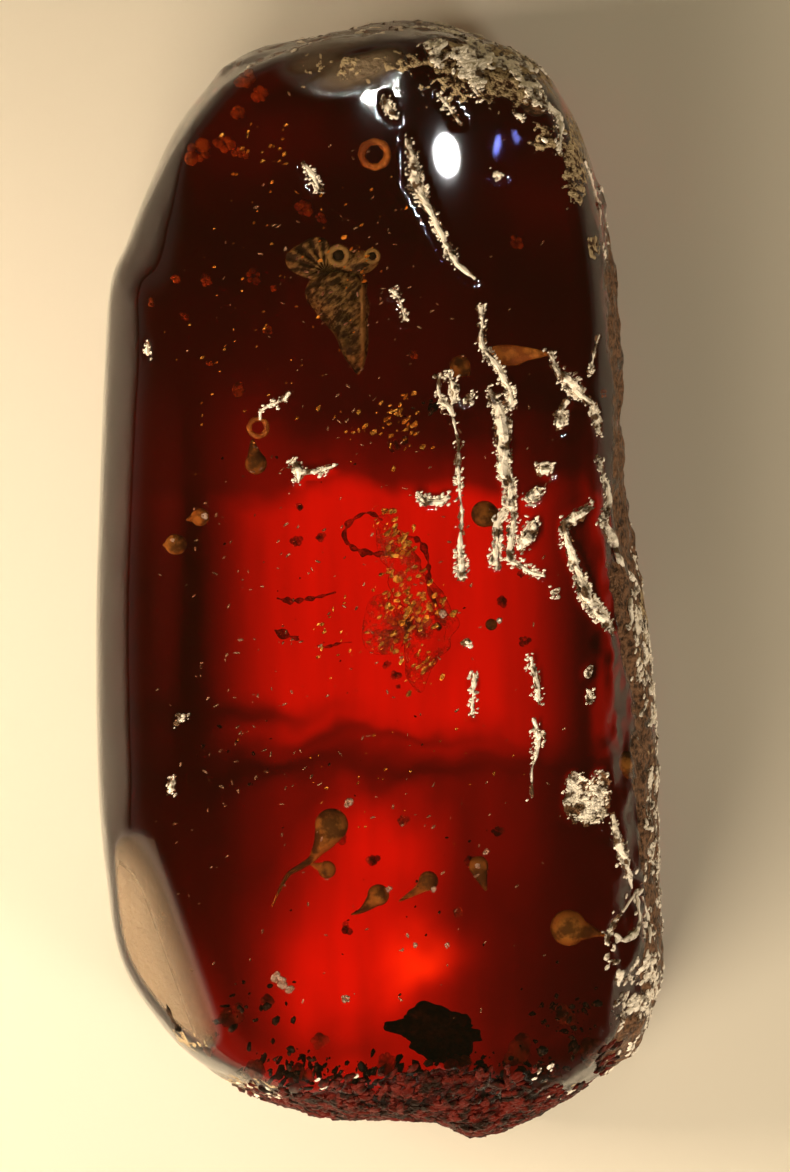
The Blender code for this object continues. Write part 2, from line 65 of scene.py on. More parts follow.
def value_noise(points, cell, seed):
    """Smooth noise from -1 to 1: hashed values at the corners of cubes of side cell, blended between.

    The points may be an array of any shape whose last axis is x, y, z.
    """
    scaled = points / cell
    base = np.floor(scaled)
    blend = smooth_step(0.0, 1.0, scaled - base)
    base = base.astype(np.int64)
    total = 0.0
    for corner in range(8):
        step = np.array([corner & 1, corner >> 1 & 1, corner >> 2])
        i, j, k = np.moveaxis(base + step, -1, 0)
        key = (i * 73856093 ^ j * 19349663 ^ k * 83492791 ^ seed * 2654435761) & 0xFFFFFFFF
        key = (key ^ key >> 13) * 1274126177 & 0xFFFFFFFF
        weight = np.prod(np.where(step, blend, 1.0 - blend), axis=-1)
        total = total + weight * ((key ^ key >> 16) / 0x7FFFFFFF - 1.0)
    return total


def hill(p, x, y, reach_x, reach_y):
    """A bell curve over the place x, y: e to the minus squared distance, counted in its two reaches."""
    return np.exp(-(((p[:, 0] - x) / reach_x) ** 2) - ((p[:, 1] - y) / reach_y) ** 2)


def round_intersection(a, b, radius):
    """Distance to the overlap of two regions: the larger distance, with the edge rounded off by radius."""
    outside = np.hypot(np.maximum(a + radius, 0.0), np.maximum(b + radius, 0.0))
    return np.minimum(np.maximum(a, b), -radius) + outside

# %% [markdown]
# ## Curves
#
# Outlines, legs and cracks are drawn by a few points with a smooth curve through them. Blender's own curves
# would do, but here the curve has to give arrays of points, so it is a Catmull-Rom spline in numpy.


# %% Curves through points
def catmull_rom(before, here, after, beyond, steps):
    """steps samples from here towards after, half of: 2b + (c - a)t + (2a - 5b + 4c - d)t^2 + (3b - a - 3c + d)t^3."""
    t = (np.arange(steps) / steps)[None, :, None]
    a, b, c, d = (q[:, None, :] for q in (before, here, after, beyond))
    curve = 0.5 * (2 * b + (c - a) * t + (2 * a - 5 * b + 4 * c - d) * t**2 + (3 * b - a - 3 * c + d) * t**3)
    return curve.reshape(-1, here.shape[1])


def closed_spline(points, steps=10):
    """A smooth closed curve through the points, steps samples from each to the next."""
    p = np.array(points, dtype=float)
    return catmull_rom(np.roll(p, 1, 0), p, np.roll(p, -1, 0), np.roll(p, -2, 0), steps)


def open_spline(rows, steps):
    """A smooth open curve through the rows, which would run straight on past both of its ends."""
    p = np.array(rows, dtype=float)
    p = np.concatenate([[2 * p[0] - p[1]], p, [2 * p[-1] - p[-2]]])
    return np.concatenate([catmull_rom(p[:-3], p[1:-2], p[2:-1], p[3:], steps), p[-2:-1]])


def turns(count):
    """The angles of count even steps round a circle."""
    return np.arange(count) / count * 2 * math.pi


def polar_outline(points, half_x, half_y):
    """The outline as a function of angle: its reach, in units of the ellipse half_x by half_y."""
    curve = closed_spline(points)
    angle = np.arctan2(curve[:, 1] / half_y, curve[:, 0] / half_x)
    reach = np.hypot(curve[:, 0] / half_x, curve[:, 1] / half_y)
    order = np.argsort(angle)
    return lambda a: np.interp(a, angle[order], reach[order], period=2 * math.pi)


def line_distance(xy, paths):
    """For each point, the distance in XY to the nearest path, less the path's half width there.

    A path's rows are x, y and half width. Each straight stretch gives the distance from the point to the
    nearest place on it, and the least of all the stretches is kept.
    """
    best = np.full(len(xy), 9.0)
    for path in paths:
        rows = np.array(path, dtype=float)
        for start, end in zip(rows[:-1], rows[1:]):
            along = end[:2] - start[:2]
            share = np.clip((xy - start[:2]) @ along / max(along @ along, 1e-9), 0.0, 1.0)
            near = start[:2] + share[:, None] * along
            width = start[2] + share * (end[2] - start[2])
            best = np.minimum(best, np.hypot(*(xy - near).T) - width)
    return best


# %% [markdown]
# ## The stone's shape
#
# The stone is polished flat on its back and slightly domed on its face, and left as it broke at the top,
# the right and the bottom. Its side wall follows a drawn outline and swells a little at mid height.
# A flat ground crosses the lower left corner, and a broad round shoulder runs down the left. Each break is
# a plane, because an overlap of distances cuts along a plane with no more work.

# %% The stone's outline and planes
WIDTH, LENGTH, THICKNESS = 23.5, 46.0, 12.2
WIDEST_Z, SIDE_BULGE = 5.0, 0.02
FACE_DOME_X, FACE_DOME_Y = 0.0035, 0.0012
BACK_EDGE_RADIUS, FACE_EDGE_RADIUS, GROUND_EDGE_RADIUS = 1.3, 1.2, 0.45
SHOULDER_RADIUS = 2.4
SHOULDER_X, SHOULDER_TOP_Y, SHOULDER_FOOT_Y = (-4.0, -9.5), (19.0, 13.0), (-14.0, -8.0)
OUTLINE = [
    (10.80, 0.0), (10.15, 4.6), (9.95, 10.0), (9.30, 15.2), (8.20, 19.0), (6.30, 21.5),
    (3.30, 22.75), (0.30, 23.0), (-3.00, 22.5), (-5.90, 21.5), (-8.20, 19.05), (-9.60, 16.2),
    (-10.45, 14.0), (-11.15, 12.2), (-11.40, 8.5), (-11.60, 3.5), (-11.75, -2.0), (-11.65, -8.5),
    (-11.30, -12.5), (-10.70, -15.8), (-9.20, -18.3), (-7.40, -20.1), (-4.50, -21.6), (-1.50, -22.3),
    (1.70, -22.35), (4.30, -23.0), (6.60, -22.1), (8.90, -20.7), (10.80, -19.1), (11.60, -17.0),
    (11.75, -14.5), (11.50, -9.5), (11.25, -4.0),
]
GROUND = ((-0.665, -0.2415, 0.707), 16.85, GROUND_EDGE_RADIUS)
BOTTOM_BREAK = ((0.05, -0.648, 0.76), 21.95, 0.5)
RIGHT_BREAK = ((0.80, 0.0, 0.60), 14.55, 0.6)
TOP_BREAK = ((0.30, 0.58, 0.757), 21.85, 0.5)
COARSE_LUMPS = ((2.6, 0.40, 7), (1.3, 0.28, 8))  # cell, height and seed
FINE_LUMPS = ((0.62, 0.16, 11), (0.33, 0.09, 12))
STONE_REACH = polar_outline(OUTLINE, WIDTH / 2, LENGTH / 2)
print("the outline has", len(OUTLINE), "points, and the stone is", WIDTH, "by", LENGTH, "by", THICKNESS, "mm")

# %% [markdown]
# ## Cracks and pits
#
# Cracks in the right half of the face have crumbled edges, which show as jagged pale lines. They could be
# cut out of the mesh, but each is so shallow that a path is enough: the face sinks near it, and grains and
# ridges are laid on it later. A path's rows are x, y and half width. The pits are round scoops.

# %% Crack paths and pits
CRACKS = [
    [(0.27, 19.71, 0.12), (0.44, 19.21, 0.21), (0.77, 18.84, 0.12)],
    [(1.18, 18.01, 0.17), (1.43, 17.06, 0.25), (1.51, 16.31, 0.33), (1.97, 15.36, 0.25), (2.59, 14.11, 0.21),
     (3.13, 13.03, 0.21), (3.96, 12.28, 0.12)],
    [(0.68, 11.79, 0.17), (0.93, 11.25, 0.08), (1.10, 10.62, 0.17)],
    [(4.17, 11.12, 0.21), (4.25, 10.54, 0.12), (4.21, 9.75, 0.21), (4.46, 9.25, 0.17), (4.92, 8.59, 0.21),
     (5.42, 7.59, 0.21), (5.37, 6.97, 0.17)],
    [(4.54, 7.76, 0.17), (4.88, 6.97, 0.27), (5.08, 6.23, 0.40), (5.17, 5.27, 0.35), (5.08, 4.40, 0.27),
     (5.42, 3.78, 0.25), (5.33, 2.99, 0.29)],
    [(5.17, 2.78, 0.17), (4.88, 2.28, 0.17), (4.83, 1.41, 0.17), (4.79, 0.66, 0.25)],
    [(5.46, 2.95, 0.17), (5.58, 2.45, 0.17), (5.42, 1.54, 0.21), (5.37, 0.83, 0.21), (5.75, 0.58, 0.17),
     (6.29, 0.29, 0.17), (6.83, 0.12, 0.12)],
    [(5.79, 1.25, 0.21), (6.12, 1.70, 0.33), (6.41, 2.24, 0.25)],
    [(2.55, 8.42, 0.12), (2.47, 7.76, 0.12), (2.59, 7.30, 0.17), (2.93, 6.97, 0.17), (3.05, 6.56, 0.12)],
    [(2.84, 8.42, 0.12), (3.13, 7.76, 0.21), (3.05, 7.22, 0.12)],
    [(3.51, 7.22, 0.12), (3.80, 7.51, 0.17)],
    [(3.05, 6.56, 0.12), (3.26, 5.60, 0.12), (3.26, 4.48, 0.17), (3.34, 3.61, 0.12), (3.42, 2.49, 0.12),
     (3.34, 1.41, 0.17), (3.38, 0.71, 0.21), (3.42, 0.12, 0.25)],
    [(7.03, 9.34, 0.17), (7.20, 8.76, 0.17), (7.53, 8.30, 0.29), (7.91, 7.97, 0.37), (8.40, 7.47, 0.25),
     (8.78, 7.14, 0.21), (8.94, 6.60, 0.25), (9.03, 6.02, 0.17)],
    [(7.78, 7.30, 0.17), (7.49, 6.93, 0.17), (7.41, 6.27, 0.25)],
    [(9.07, 10.00, 0.12), (8.86, 9.42, 0.08), (8.74, 8.51, 0.17)],
    [(9.07, 4.86, 0.17), (9.19, 4.32, 0.12), (9.40, 3.78, 0.21), (9.48, 3.07, 0.21), (9.32, 2.53, 0.21)],
    [(8.69, 2.99, 0.21), (8.15, 2.57, 0.33), (7.62, 2.28, 0.21), (7.78, 1.41, 0.25), (8.20, 0.29, 0.25),
     (8.53, -0.75, 0.33), (9.15, -1.54, 0.33), (9.61, -2.08, 0.21)],
    [(9.23, 2.37, 0.25), (9.69, 1.54, 0.29), (9.94, 0.66, 0.29), (10.44, 0.04, 0.29), (10.69, -0.50, 0.25),
     (10.35, -0.87, 0.17), (10.40, -1.70, 0.17), (10.19, -1.99, 0.25)],
    [(6.54, 3.57, 0.25), (6.20, 3.32, 0.25)],
    [(6.66, 4.44, 0.29), (6.99, 4.48, 0.29)],
    [(7.16, -0.58, 0.17), (7.24, -0.54, 0.17)],
    [(6.25, -3.20, 0.12), (6.33, -3.61, 0.17), (6.49, -4.27, 0.17), (6.54, -5.02, 0.17)],
    [(6.33, -5.69, 0.12), (6.54, -6.47, 0.21), (6.45, -7.30, 0.12), (6.29, -7.84, 0.08), (6.29, -8.96, 0.12)],
    [(3.92, -3.86, 0.12), (3.92, -4.19, 0.17), (3.88, -4.69, 0.08), (3.84, -5.52, 0.17)],
    [(8.45, -3.82, 0.12), (8.78, -3.57, 0.12), (8.61, -4.03, 0.12), (8.45, -3.82, 0.12)],
    [(8.65, -4.57, 0.12), (8.69, -4.90, 0.17)],
    [(3.59, -2.61, 0.21), (3.67, -2.57, 0.21)],
    [(5.00, -1.66, 0.12), (4.88, -1.74, 0.08)],
    [(-3.51, 4.81, 0.17), (-3.26, 4.44, 0.21), (-3.26, 3.94, 0.12)],
    [(-3.17, 4.36, 0.21), (-2.34, 4.44, 0.17), (-1.64, 4.69, 0.08)],
    [(1.64, 3.57, 0.12), (1.89, 3.20, 0.21), (2.55, 3.15, 0.21), (2.88, 3.40, 0.17)],
    [(-3.13, 17.06, 0.12), (-2.76, 16.64, 0.17), (-2.39, 15.98, 0.17)],
    [(-7.91, -5.60, 0.12), (-8.07, -5.73, 0.17), (-8.28, -5.93, 0.12)],
    [(-8.36, -8.01, 0.08), (-8.45, -8.59, 0.21), (-8.57, -8.76, 0.17)],
    [(-9.48, 9.63, 0.17), (-9.48, 9.21, 0.17)],
    [(-3.63, 7.64, 0.12), (-3.88, 7.35, 0.12), (-4.75, 6.93, 0.12), (-4.83, 6.52, 0.12)],
    [(4.71, 16.64, 0.12), (5.00, 16.52, 0.17)],
    [(9.61, -9.67, 0.12), (9.73, -10.42, 0.21), (10.02, -11.33, 0.29), (10.27, -11.99, 0.21), (10.40, -12.70, 0.12)],
    [(10.60, -12.82, 0.12), (10.11, -13.53, 0.12), (9.48, -14.36, 0.17), (9.32, -14.98, 0.12)],
    [(10.60, -12.82, 0.12), (10.69, -13.53, 0.17), (10.69, -14.36, 0.21), (10.11, -14.82, 0.17), (9.69, -14.57, 0.12)],
    [(10.85, -13.03, 0.12), (11.06, -13.94, 0.17), (11.18, -14.98, 0.12)],
    [(2.59, 19.71, 0.16), (2.99, 19.20, 0.10), (3.34, 18.63, 0.17)],
    [(3.90, 20.05, 0.14), (4.09, 19.80, 0.14)],
    [(5.60, 19.10, 0.12), (5.87, 18.84, 0.17)],
    [(6.41, 19.80, 0.17), (7.00, 19.40, 0.21), (7.45, 18.97, 0.25), (7.50, 18.20, 0.14), (7.37, 17.47, 0.17)],
    [(6.70, 18.05, 0.17), (6.90, 17.90, 0.17)],
    [(8.40, 17.26, 0.21), (8.70, 16.70, 0.17), (8.90, 16.00, 0.14), (9.10, 15.20, 0.12), (9.15, 14.60, 0.10)],
]
CRACK_DEPTH, CRACK_UNEVEN, CRACK_LIP = 0.13, 0.08, 0.16
PITS = [(8.10, -8.40, 0.45), (9.10, -8.35, 0.45), (8.55, -9.15, 1.02)]
PIT_DEPTH, PIT_UNEVEN, PIT_EDGE = 0.30, 0.35, (1.05, 0.7)
FACE_REACH = (1.4, 0.6)
print(len(CRACKS), "cracks and", len(PITS), "pits")

# %% [markdown]
# ## Where the skin changes
#
# The rind isn't the same all over. Its top and outer rim are opaque, the middle of its foot is dark red, and
# it has pale patches, partly its own pale colour and partly painted glints. The ground facet is dulled, and
# its haze is partly a painted reflection; the striped patch at the top left is a painted reflection. Each of
# these is a share from 0 to 1 at any point, and the stone's mesh keeps it as an attribute.
# A painted image would do the same, but it would have to be kept and laid on.

# %% Places of the skin's parts
RIND_RIGHT_Y, RIND_WALL_X, RIND_END_Y = (8.5, 6.0), (8.6, 9.6), (20.0, 21.5)
RIND_WALL_Z, RIND_FOOT_Z = (11.2, 10.2), (0.4, 1.6)
BREAK_FADE, RIGHT_FADE, WALL_RIND, END_RIND = (-0.4, 0.1), (-0.5, 0.1), 0.6, 0.4
# The rind's pale patches, partly painted glints: centre, reach along X and Y, and how much of the patch is pale
PALE_AND_GLINT_PATCHES = [
    (4.8, 20.9, 3.6, 1.5, 1.0), (1.3, 21.2, 1.5, 0.6, 0.8), (-1.5, 20.9, 1.8, 1.0, 0.5), (8.1, 17.5, 0.8, 2.5, 0.8),
    (6.9, 18.0, 0.7, 0.8, 0.8), (8.86, 13.6, 0.3, 0.5, 1.0), (11.3, -5.0, 0.30, 12.0, 0.3),
    (11.1, -1.7, 0.40, 3.0, 0.7), (10.8, -17.5, 1.0, 3.0, 0.27), (8.9, -21.0, 1.4, 0.8, 0.30),
    (-5.8, -20.9, 2.0, 0.8, 0.6), (-8.0, -18.9, 1.2, 0.8, 0.5),
]
CRUST_TOP_Y, CRUST_LEAST = (17.0, 19.0), 0.18
CRUST_RIM, RIM_X, RIM_OUT = 0.9, (8.0, 8.8), (-0.8, -0.3)
CRUST_FOOT, CRUST_FOOT_Y = 0.44, (-19.6, -20.4)
CORNER_Y, CORNER_LEFT_X, CORNER_RIGHT_X = (-19.0, -20.5), (-2.5, -4.5), (6.5, 8.5)
CRUST_LIP, LIP_Y, LIP_OUT, LIP_Z = 0.62, (-20.6, -21.4), (-0.9, -0.5), (1.5, 4.0)
LIP_LEFT_X, LIP_RIGHT_X = (-5.2, -3.2), (9.6, 7.4)
DARK_FOOT_Y, DARK_FOOT_LEFT_X, DARK_FOOT_RIGHT_X = (-18.0, -19.2), (-6.0, -4.0), (10.2, 8.4)
WORN_OUT, WORN_Z, WORN_Y = (-0.10, -0.01), (11.7, 9.4), (-9.4, -13.0)
# The painted reflection at the top left, a patch of stripes
STRIPED_REFLECTION_PATCH, STRIPED_REFLECTION_Z, STRIPED_REFLECTION_FADE = (-1.4, 21.2, 2.3, 1.2), (9.0, 10.5), (0.15, 0.70)
STRIPE_TURN, STRIPE_DRAWN, STRIPE_CELL = (0.97, 0.24), 0.20, 0.46


# %% Distances and shares
def outline_distance(p):
    """How far a point lies outside the side wall, which swells with the square of the height from its middle."""
    x, y, z = p.T
    half_x, half_y = WIDTH / 2, LENGTH / 2
    reach = np.hypot(x / half_x, y / half_y)
    slope = np.hypot(x / half_x**2, y / half_y**2) / np.maximum(reach, 1e-9)
    wall = STONE_REACH(np.arctan2(y / half_y, x / half_x))
    return (reach - wall) / np.maximum(slope, 1e-9) + SIDE_BULGE * (z - WIDEST_Z) ** 2


def face_height(x, y):
    """The polished face: the full thickness, less a share of x squared and of y squared."""
    return THICKNESS - FACE_DOME_X * x**2 - FACE_DOME_Y * y**2


def plane_distance(p, plane):
    """How far a point lies outside a flat face: its reach along the outward direction, less the face's."""
    return p @ np.array(plane[0]) - plane[1]


def rind_amount(p):
    """1 on the broken top, right and bottom, where the rough skin is, and 0 on the polished faces."""
    x, y, z = p.T
    right = smooth_step(*RIGHT_FADE, plane_distance(p, RIGHT_BREAK)) * smooth_step(*RIND_RIGHT_Y, y)
    bottom = smooth_step(*BREAK_FADE, plane_distance(p, BOTTOM_BREAK))
    top = smooth_step(*BREAK_FADE, plane_distance(p, TOP_BREAK))
    wall = WALL_RIND * smooth_step(*RIND_WALL_X, x) * smooth_step(*RIND_WALL_Z, z)
    ends = END_RIND * smooth_step(*RIND_END_Y, np.abs(y)) * smooth_step(*RIND_WALL_Z, z)
    return np.maximum.reduce([right, bottom, top, wall, ends]) * smooth_step(*RIND_FOOT_Z, z)


def pale_and_glint_amount(p):
    """The largest of the pale patches' shares, each a hill times its amount; the pale is partly painted glints."""
    shares = [amount * hill(p, *place) for *place, amount in PALE_AND_GLINT_PATCHES]
    return np.maximum.reduce(shares) * smooth_step(*RIND_FOOT_Z, p[:, 2])


def crust_amount(p):
    """Where the skin is opaque: all of it at the top, the outer rim on the right, and the foot with its lip."""
    x, y, z = p.T
    top = smooth_step(*CRUST_TOP_Y, y)
    beyond = outline_distance(p)
    rim = CRUST_RIM * smooth_step(*RIM_X, x) * smooth_step(*RIM_OUT, beyond)
    foot = CRUST_FOOT * smooth_step(*CRUST_FOOT_Y, y)
    sides = np.maximum(smooth_step(*CORNER_LEFT_X, x), smooth_step(*CORNER_RIGHT_X, x))
    corners = CRUST_RIM * smooth_step(*CORNER_Y, y) * sides
    skin = rind_amount(p) * np.maximum.reduce([top, rim, foot, corners, np.full(len(p), CRUST_LEAST)])
    lip = CRUST_LIP * smooth_step(*LIP_Y, y) * smooth_step(*LIP_OUT, beyond) * smooth_step(*LIP_Z, z)
    return np.maximum(skin, lip * smooth_step(*LIP_LEFT_X, x) * smooth_step(*LIP_RIGHT_X, x))


def dull_and_reflection_amount(p):
    """Where the haze is: the dulled ground facet, whose haze is partly a painted reflection, and a painted reflection
    in stripes, which are noise drawn out sideways.
    """
    x, y, z = p.T
    worn = smooth_step(*WORN_OUT, plane_distance(p, GROUND)) * smooth_step(*WORN_Z, z) * smooth_step(*WORN_Y, y)
    cosine, sine = STRIPE_TURN
    drawn = np.stack([STRIPE_DRAWN * (cosine * x + sine * y), cosine * y - sine * x, 0.0 * x], axis=1)
    stripes = 0.38 + 0.55 * value_noise(drawn, STRIPE_CELL, 33)
    patch = hill(p, *STRIPED_REFLECTION_PATCH) * smooth_step(*STRIPED_REFLECTION_Z, z)
    return np.maximum(worn, stripes * smooth_step(*STRIPED_REFLECTION_FADE, patch))


def dark_foot_amount(p):
    """1 where the skin of the foot is dark and red instead of tan: its middle, between the two corners."""
    x, y, _ = p.T
    return smooth_step(*DARK_FOOT_Y, y) * smooth_step(*DARK_FOOT_LEFT_X, x) * smooth_step(*DARK_FOOT_RIGHT_X, x)


# %% [markdown]
# ## The formula of the stone
#
# Every brick goes into one distance. The rind's lumps are added to it, and the cracks and pits sink the
# finished points. The surface is found by halving: a line runs out from the middle of the stone, and the
# half that still holds the crossing is kept each time.


# %% The stone's formula and its surface
def stone_distance(p):
    """Signed distance to the stone: wall, back, face and breaks overlapped, then the lumps and the ground facet."""
    x, y, z = p.T
    shoulder = smooth_step(*SHOULDER_X, x) * smooth_step(*SHOULDER_TOP_Y, y) * smooth_step(*SHOULDER_FOOT_Y, y)
    body = round_intersection(outline_distance(p), -z, BACK_EDGE_RADIUS)
    body = round_intersection(body, z - face_height(x, y), FACE_EDGE_RADIUS + SHOULDER_RADIUS * shoulder)
    for plane in (BOTTOM_BREAK, RIGHT_BREAK, TOP_BREAK):
        body = round_intersection(body, plane_distance(p, plane), plane[2])
    rind = rind_amount(p)
    for lumps in (COARSE_LUMPS, FINE_LUMPS):
        body += rind * sum(height * value_noise(p, cell, seed) for cell, height, seed in lumps)
    return round_intersection(body, plane_distance(p, GROUND), GROUND[2])


def carve(points):
    """Sinks the face along the cracks, by a depth times noise, and in the round pits, and tells how near they are."""
    x, y, z = points.T
    near = line_distance(points[:, :2], CRACKS)
    on_face = smooth_step(*FACE_REACH, np.abs(z - face_height(x, y)))
    sink = smooth_step(0.0, -CRACK_LIP, near) * (CRACK_DEPTH + CRACK_UNEVEN * value_noise(points, 0.45, 15))
    for pit_x, pit_y, radius in PITS:
        share = np.hypot(x - pit_x, y - pit_y) / radius
        scoop = PIT_DEPTH * smooth_step(*PIT_EDGE, share) * (1.0 + PIT_UNEVEN * value_noise(points, 0.6, 16))
        sink = np.maximum(sink, scoop)
        near = np.minimum(near, (share - 1.0) * radius)
    points[:, 2] -= sink * on_face
    return np.clip(1.0 - (near + 0.2) / 0.6, 0.0, 1.0) * on_face


def to_surface(inner, outer, distance, low=0.0, high=1.15, steps=26):
    """Slides each point along its own line from inner to outer, halving the span, until the distance is nought."""
    low, high = np.full(len(inner), low), np.full(len(inner), high)
    for _ in range(steps):
        middle = (low + high) / 2
        inside = distance(inner + middle[:, None] * (outer - inner)) < 0
        low, high = np.where(inside, middle, low), np.where(inside, high, middle)
    return inner + low[:, None] * (outer - inner)


# %% [markdown]
# ## Meshes from arrays
#
# A piece is an array of points and an array of faces, written to Blender in one go. The stone starts as
# the lattice on a box's six sides, whose points are numbered once, so that the mesh is closed.


# %% Mesh helpers
def mesh_object(name, points, faces, surface, smooth=True):
    """A named object from points in millimetres and faces of one size, with its material."""
    mesh = bpy.data.meshes.new(name)
    corners = faces.shape[1]
    mesh.vertices.add(len(points))
    mesh.vertices.foreach_set("co", (points * MM).astype(np.float32).ravel())
    mesh.loops.add(faces.size)
    mesh.loops.foreach_set("vertex_index", faces.astype(np.int32).ravel())
    mesh.polygons.add(len(faces))
    mesh.polygons.foreach_set("loop_start", np.arange(0, faces.size, corners, dtype=np.int32))
    mesh.polygons.foreach_set("use_smooth", np.full(len(faces), smooth))
    mesh.update(calc_edges=True)
    mesh.validate()
    mesh.materials.append(surface)
    made = bpy.data.objects.new(name, mesh)
    bpy.context.scene.collection.objects.link(made)
    return made


def point_value(made, name, values):
    """Stores one number a point, which the material reads by its name."""
    made.data.attributes.new(name, "FLOAT", "POINT").data.foreach_set("value", values.astype(np.float32))


def box_lattice(nx, ny, nz):
    """Points on a box's six sides, from 0 to 1 along each axis, and the outward quads between them."""
    i, j, k = np.indices((nx + 1, ny + 1, nz + 1))
    edge = (i % nx == 0) | (j % ny == 0) | (k % nz == 0)
    number = np.full(edge.shape, -1)
    number[edge] = np.arange(edge.sum())
    points = np.stack([i[edge] / nx, j[edge] / ny, k[edge] / nz], axis=1)
    quads = []
    for axis in range(3):
        for side, flip in ((0, True), (-1, False)):
            sheet = np.take(number, side, axis=axis)
            if axis == 1:
                flip = not flip
            a, b, c, d = sheet[:-1, :-1], sheet[1:, :-1], sheet[1:, 1:], sheet[:-1, 1:]
            quad = np.stack([a, d, c, b] if flip else [a, b, c, d], axis=-1)
            quads.append(quad.reshape(-1, 4))
    return points, np.concatenate(quads)


# %% [markdown]
# ## Material helpers
#
# A material is a net of small nodes: noise and attributes come in, sums and steps shape them, and colours
# and roughness go out to the Principled shader. Wiring a net by hand is slow to read, so a few helpers each
# add one node and give back its result. Patterns read Object coordinates, so they stay on the piece.


# %% Node helpers
def feed(tree, made, inputs):
    """Sets a node's inputs: a socket is linked, and anything else becomes the input's own value."""
    for key, value in inputs.items():
        if isinstance(value, bpy.types.NodeSocket):
            tree.links.new(value, made.inputs[key])
        else:
            made.inputs[key].default_value = value


def node(tree, kind, inputs=(), **settings):
    """Adds a shader node with its settings and its inputs."""
    made = tree.nodes.new("ShaderNode" + kind)
    for key, value in settings.items():
        setattr(made, key, value)
    feed(tree, made, dict(inputs))
    return made


def blank_material(name):
    """A new material with its node tree and its Principled shader."""
    made = bpy.data.materials.new(name)
    made.use_nodes = True
    return made, made.node_tree, made.node_tree.nodes["Principled BSDF"]


def object_place(tree):
    """The place on the piece, in its own coordinates."""
    return node(tree, "TexCoord").outputs["Object"]


def attribute(tree, name):
    """One number a point, which the mesh keeps by this name."""
    return node(tree, "Attribute", attribute_name=name).outputs["Fac"]


def formula(tree, operation, *values):
    """One Math node of the given operation, and its result."""
    return node(tree, "Math", dict(enumerate(values)), operation=operation).outputs[0]


def times(tree, a, b):
    """a times b."""
    return formula(tree, "MULTIPLY", a, b)


def times_plus(tree, a, b, c):
    """a times b, plus c."""
    return formula(tree, "MULTIPLY_ADD", a, b, c)


def step_node(tree, value, low, high):
    """0 where the value is at low, 1 at high, smooth between, by a Map Range node."""
    made = node(tree, "MapRange", {"Value": value, "From Min": low, "From Max": high}, interpolation_type="SMOOTHSTEP")
    return made.outputs["Result"]


def mixed(tree, share, first, second):
    """The first colour where the share is 0 and the second where it is 1."""
    return node(tree, "Mix", {0: share, 6: first, 7: second}, data_type="RGBA").outputs[2]


def noise(tree, place, scale, detail=3.0, roughness=0.5):
    """A noise value from about 0.2 to 0.8, with lumps about 1/scale metres wide."""
    made = node(tree, "TexNoise", {"Vector": place, "Scale": scale, "Detail": detail, "Roughness": roughness})
    return made.outputs["Fac"]


def bumped(tree, height, distance, strength):
    """A bent normal, as if the surface rose by the height times the distance in metres."""
    return node(tree, "Bump", {"Height": height, "Distance": distance, "Strength": strength}).outputs[0]


# %% [markdown]
# ## Amber
#
# Polished amber is clear. Its colour comes from its depth: red passes through 12 mm of it, green and
# blue hardly do. A coloured surface would look the same from every side, so the colour is an absorption in
# the volume. One shader covers the stone: where the rind or a crack is, it turns from clear glass to a
# pale, rough, granular skin. Its pale grains are partly painted glints, and the dark beds of the cracks are
# painted shade between their grains.

# %% Amber material
AMBER_DENSITY, AMBER_IOR = 560.0, 1.54
AMBER_COLOUR, CLEAR = (0.75, 0.20, 0.0, 1.0), (1.0, 1.0, 1.0, 1.0)
# The haze of the ground facet is partly a painted reflection, and on the striped patch all of it is.
HAZE_AND_PAINTED_REFLECTION = (0.42, 0.30, 0.19, 1.0)
FOOT_RED, FOOT_DARK = (0.050, 0.003, 0.0015, 1.0), (0.006, 0.002, 0.001, 1.0)
# The rind's pale is partly its own colour and partly painted glints.
PALE_RIND_AND_PAINTED_GLINT, RIND_BROWN = (0.52, 0.39, 0.23, 1.0), (0.23, 0.115, 0.06, 1.0)
RIND_DARK = (0.04, 0.018, 0.008, 1.0)
CRUST_SOLID, HAZE_AND_REFLECTION_SOLID = 0.92, 0.7
SKIN_ROUGHNESS, POLISH_ROUGHNESS = 0.55, 0.02


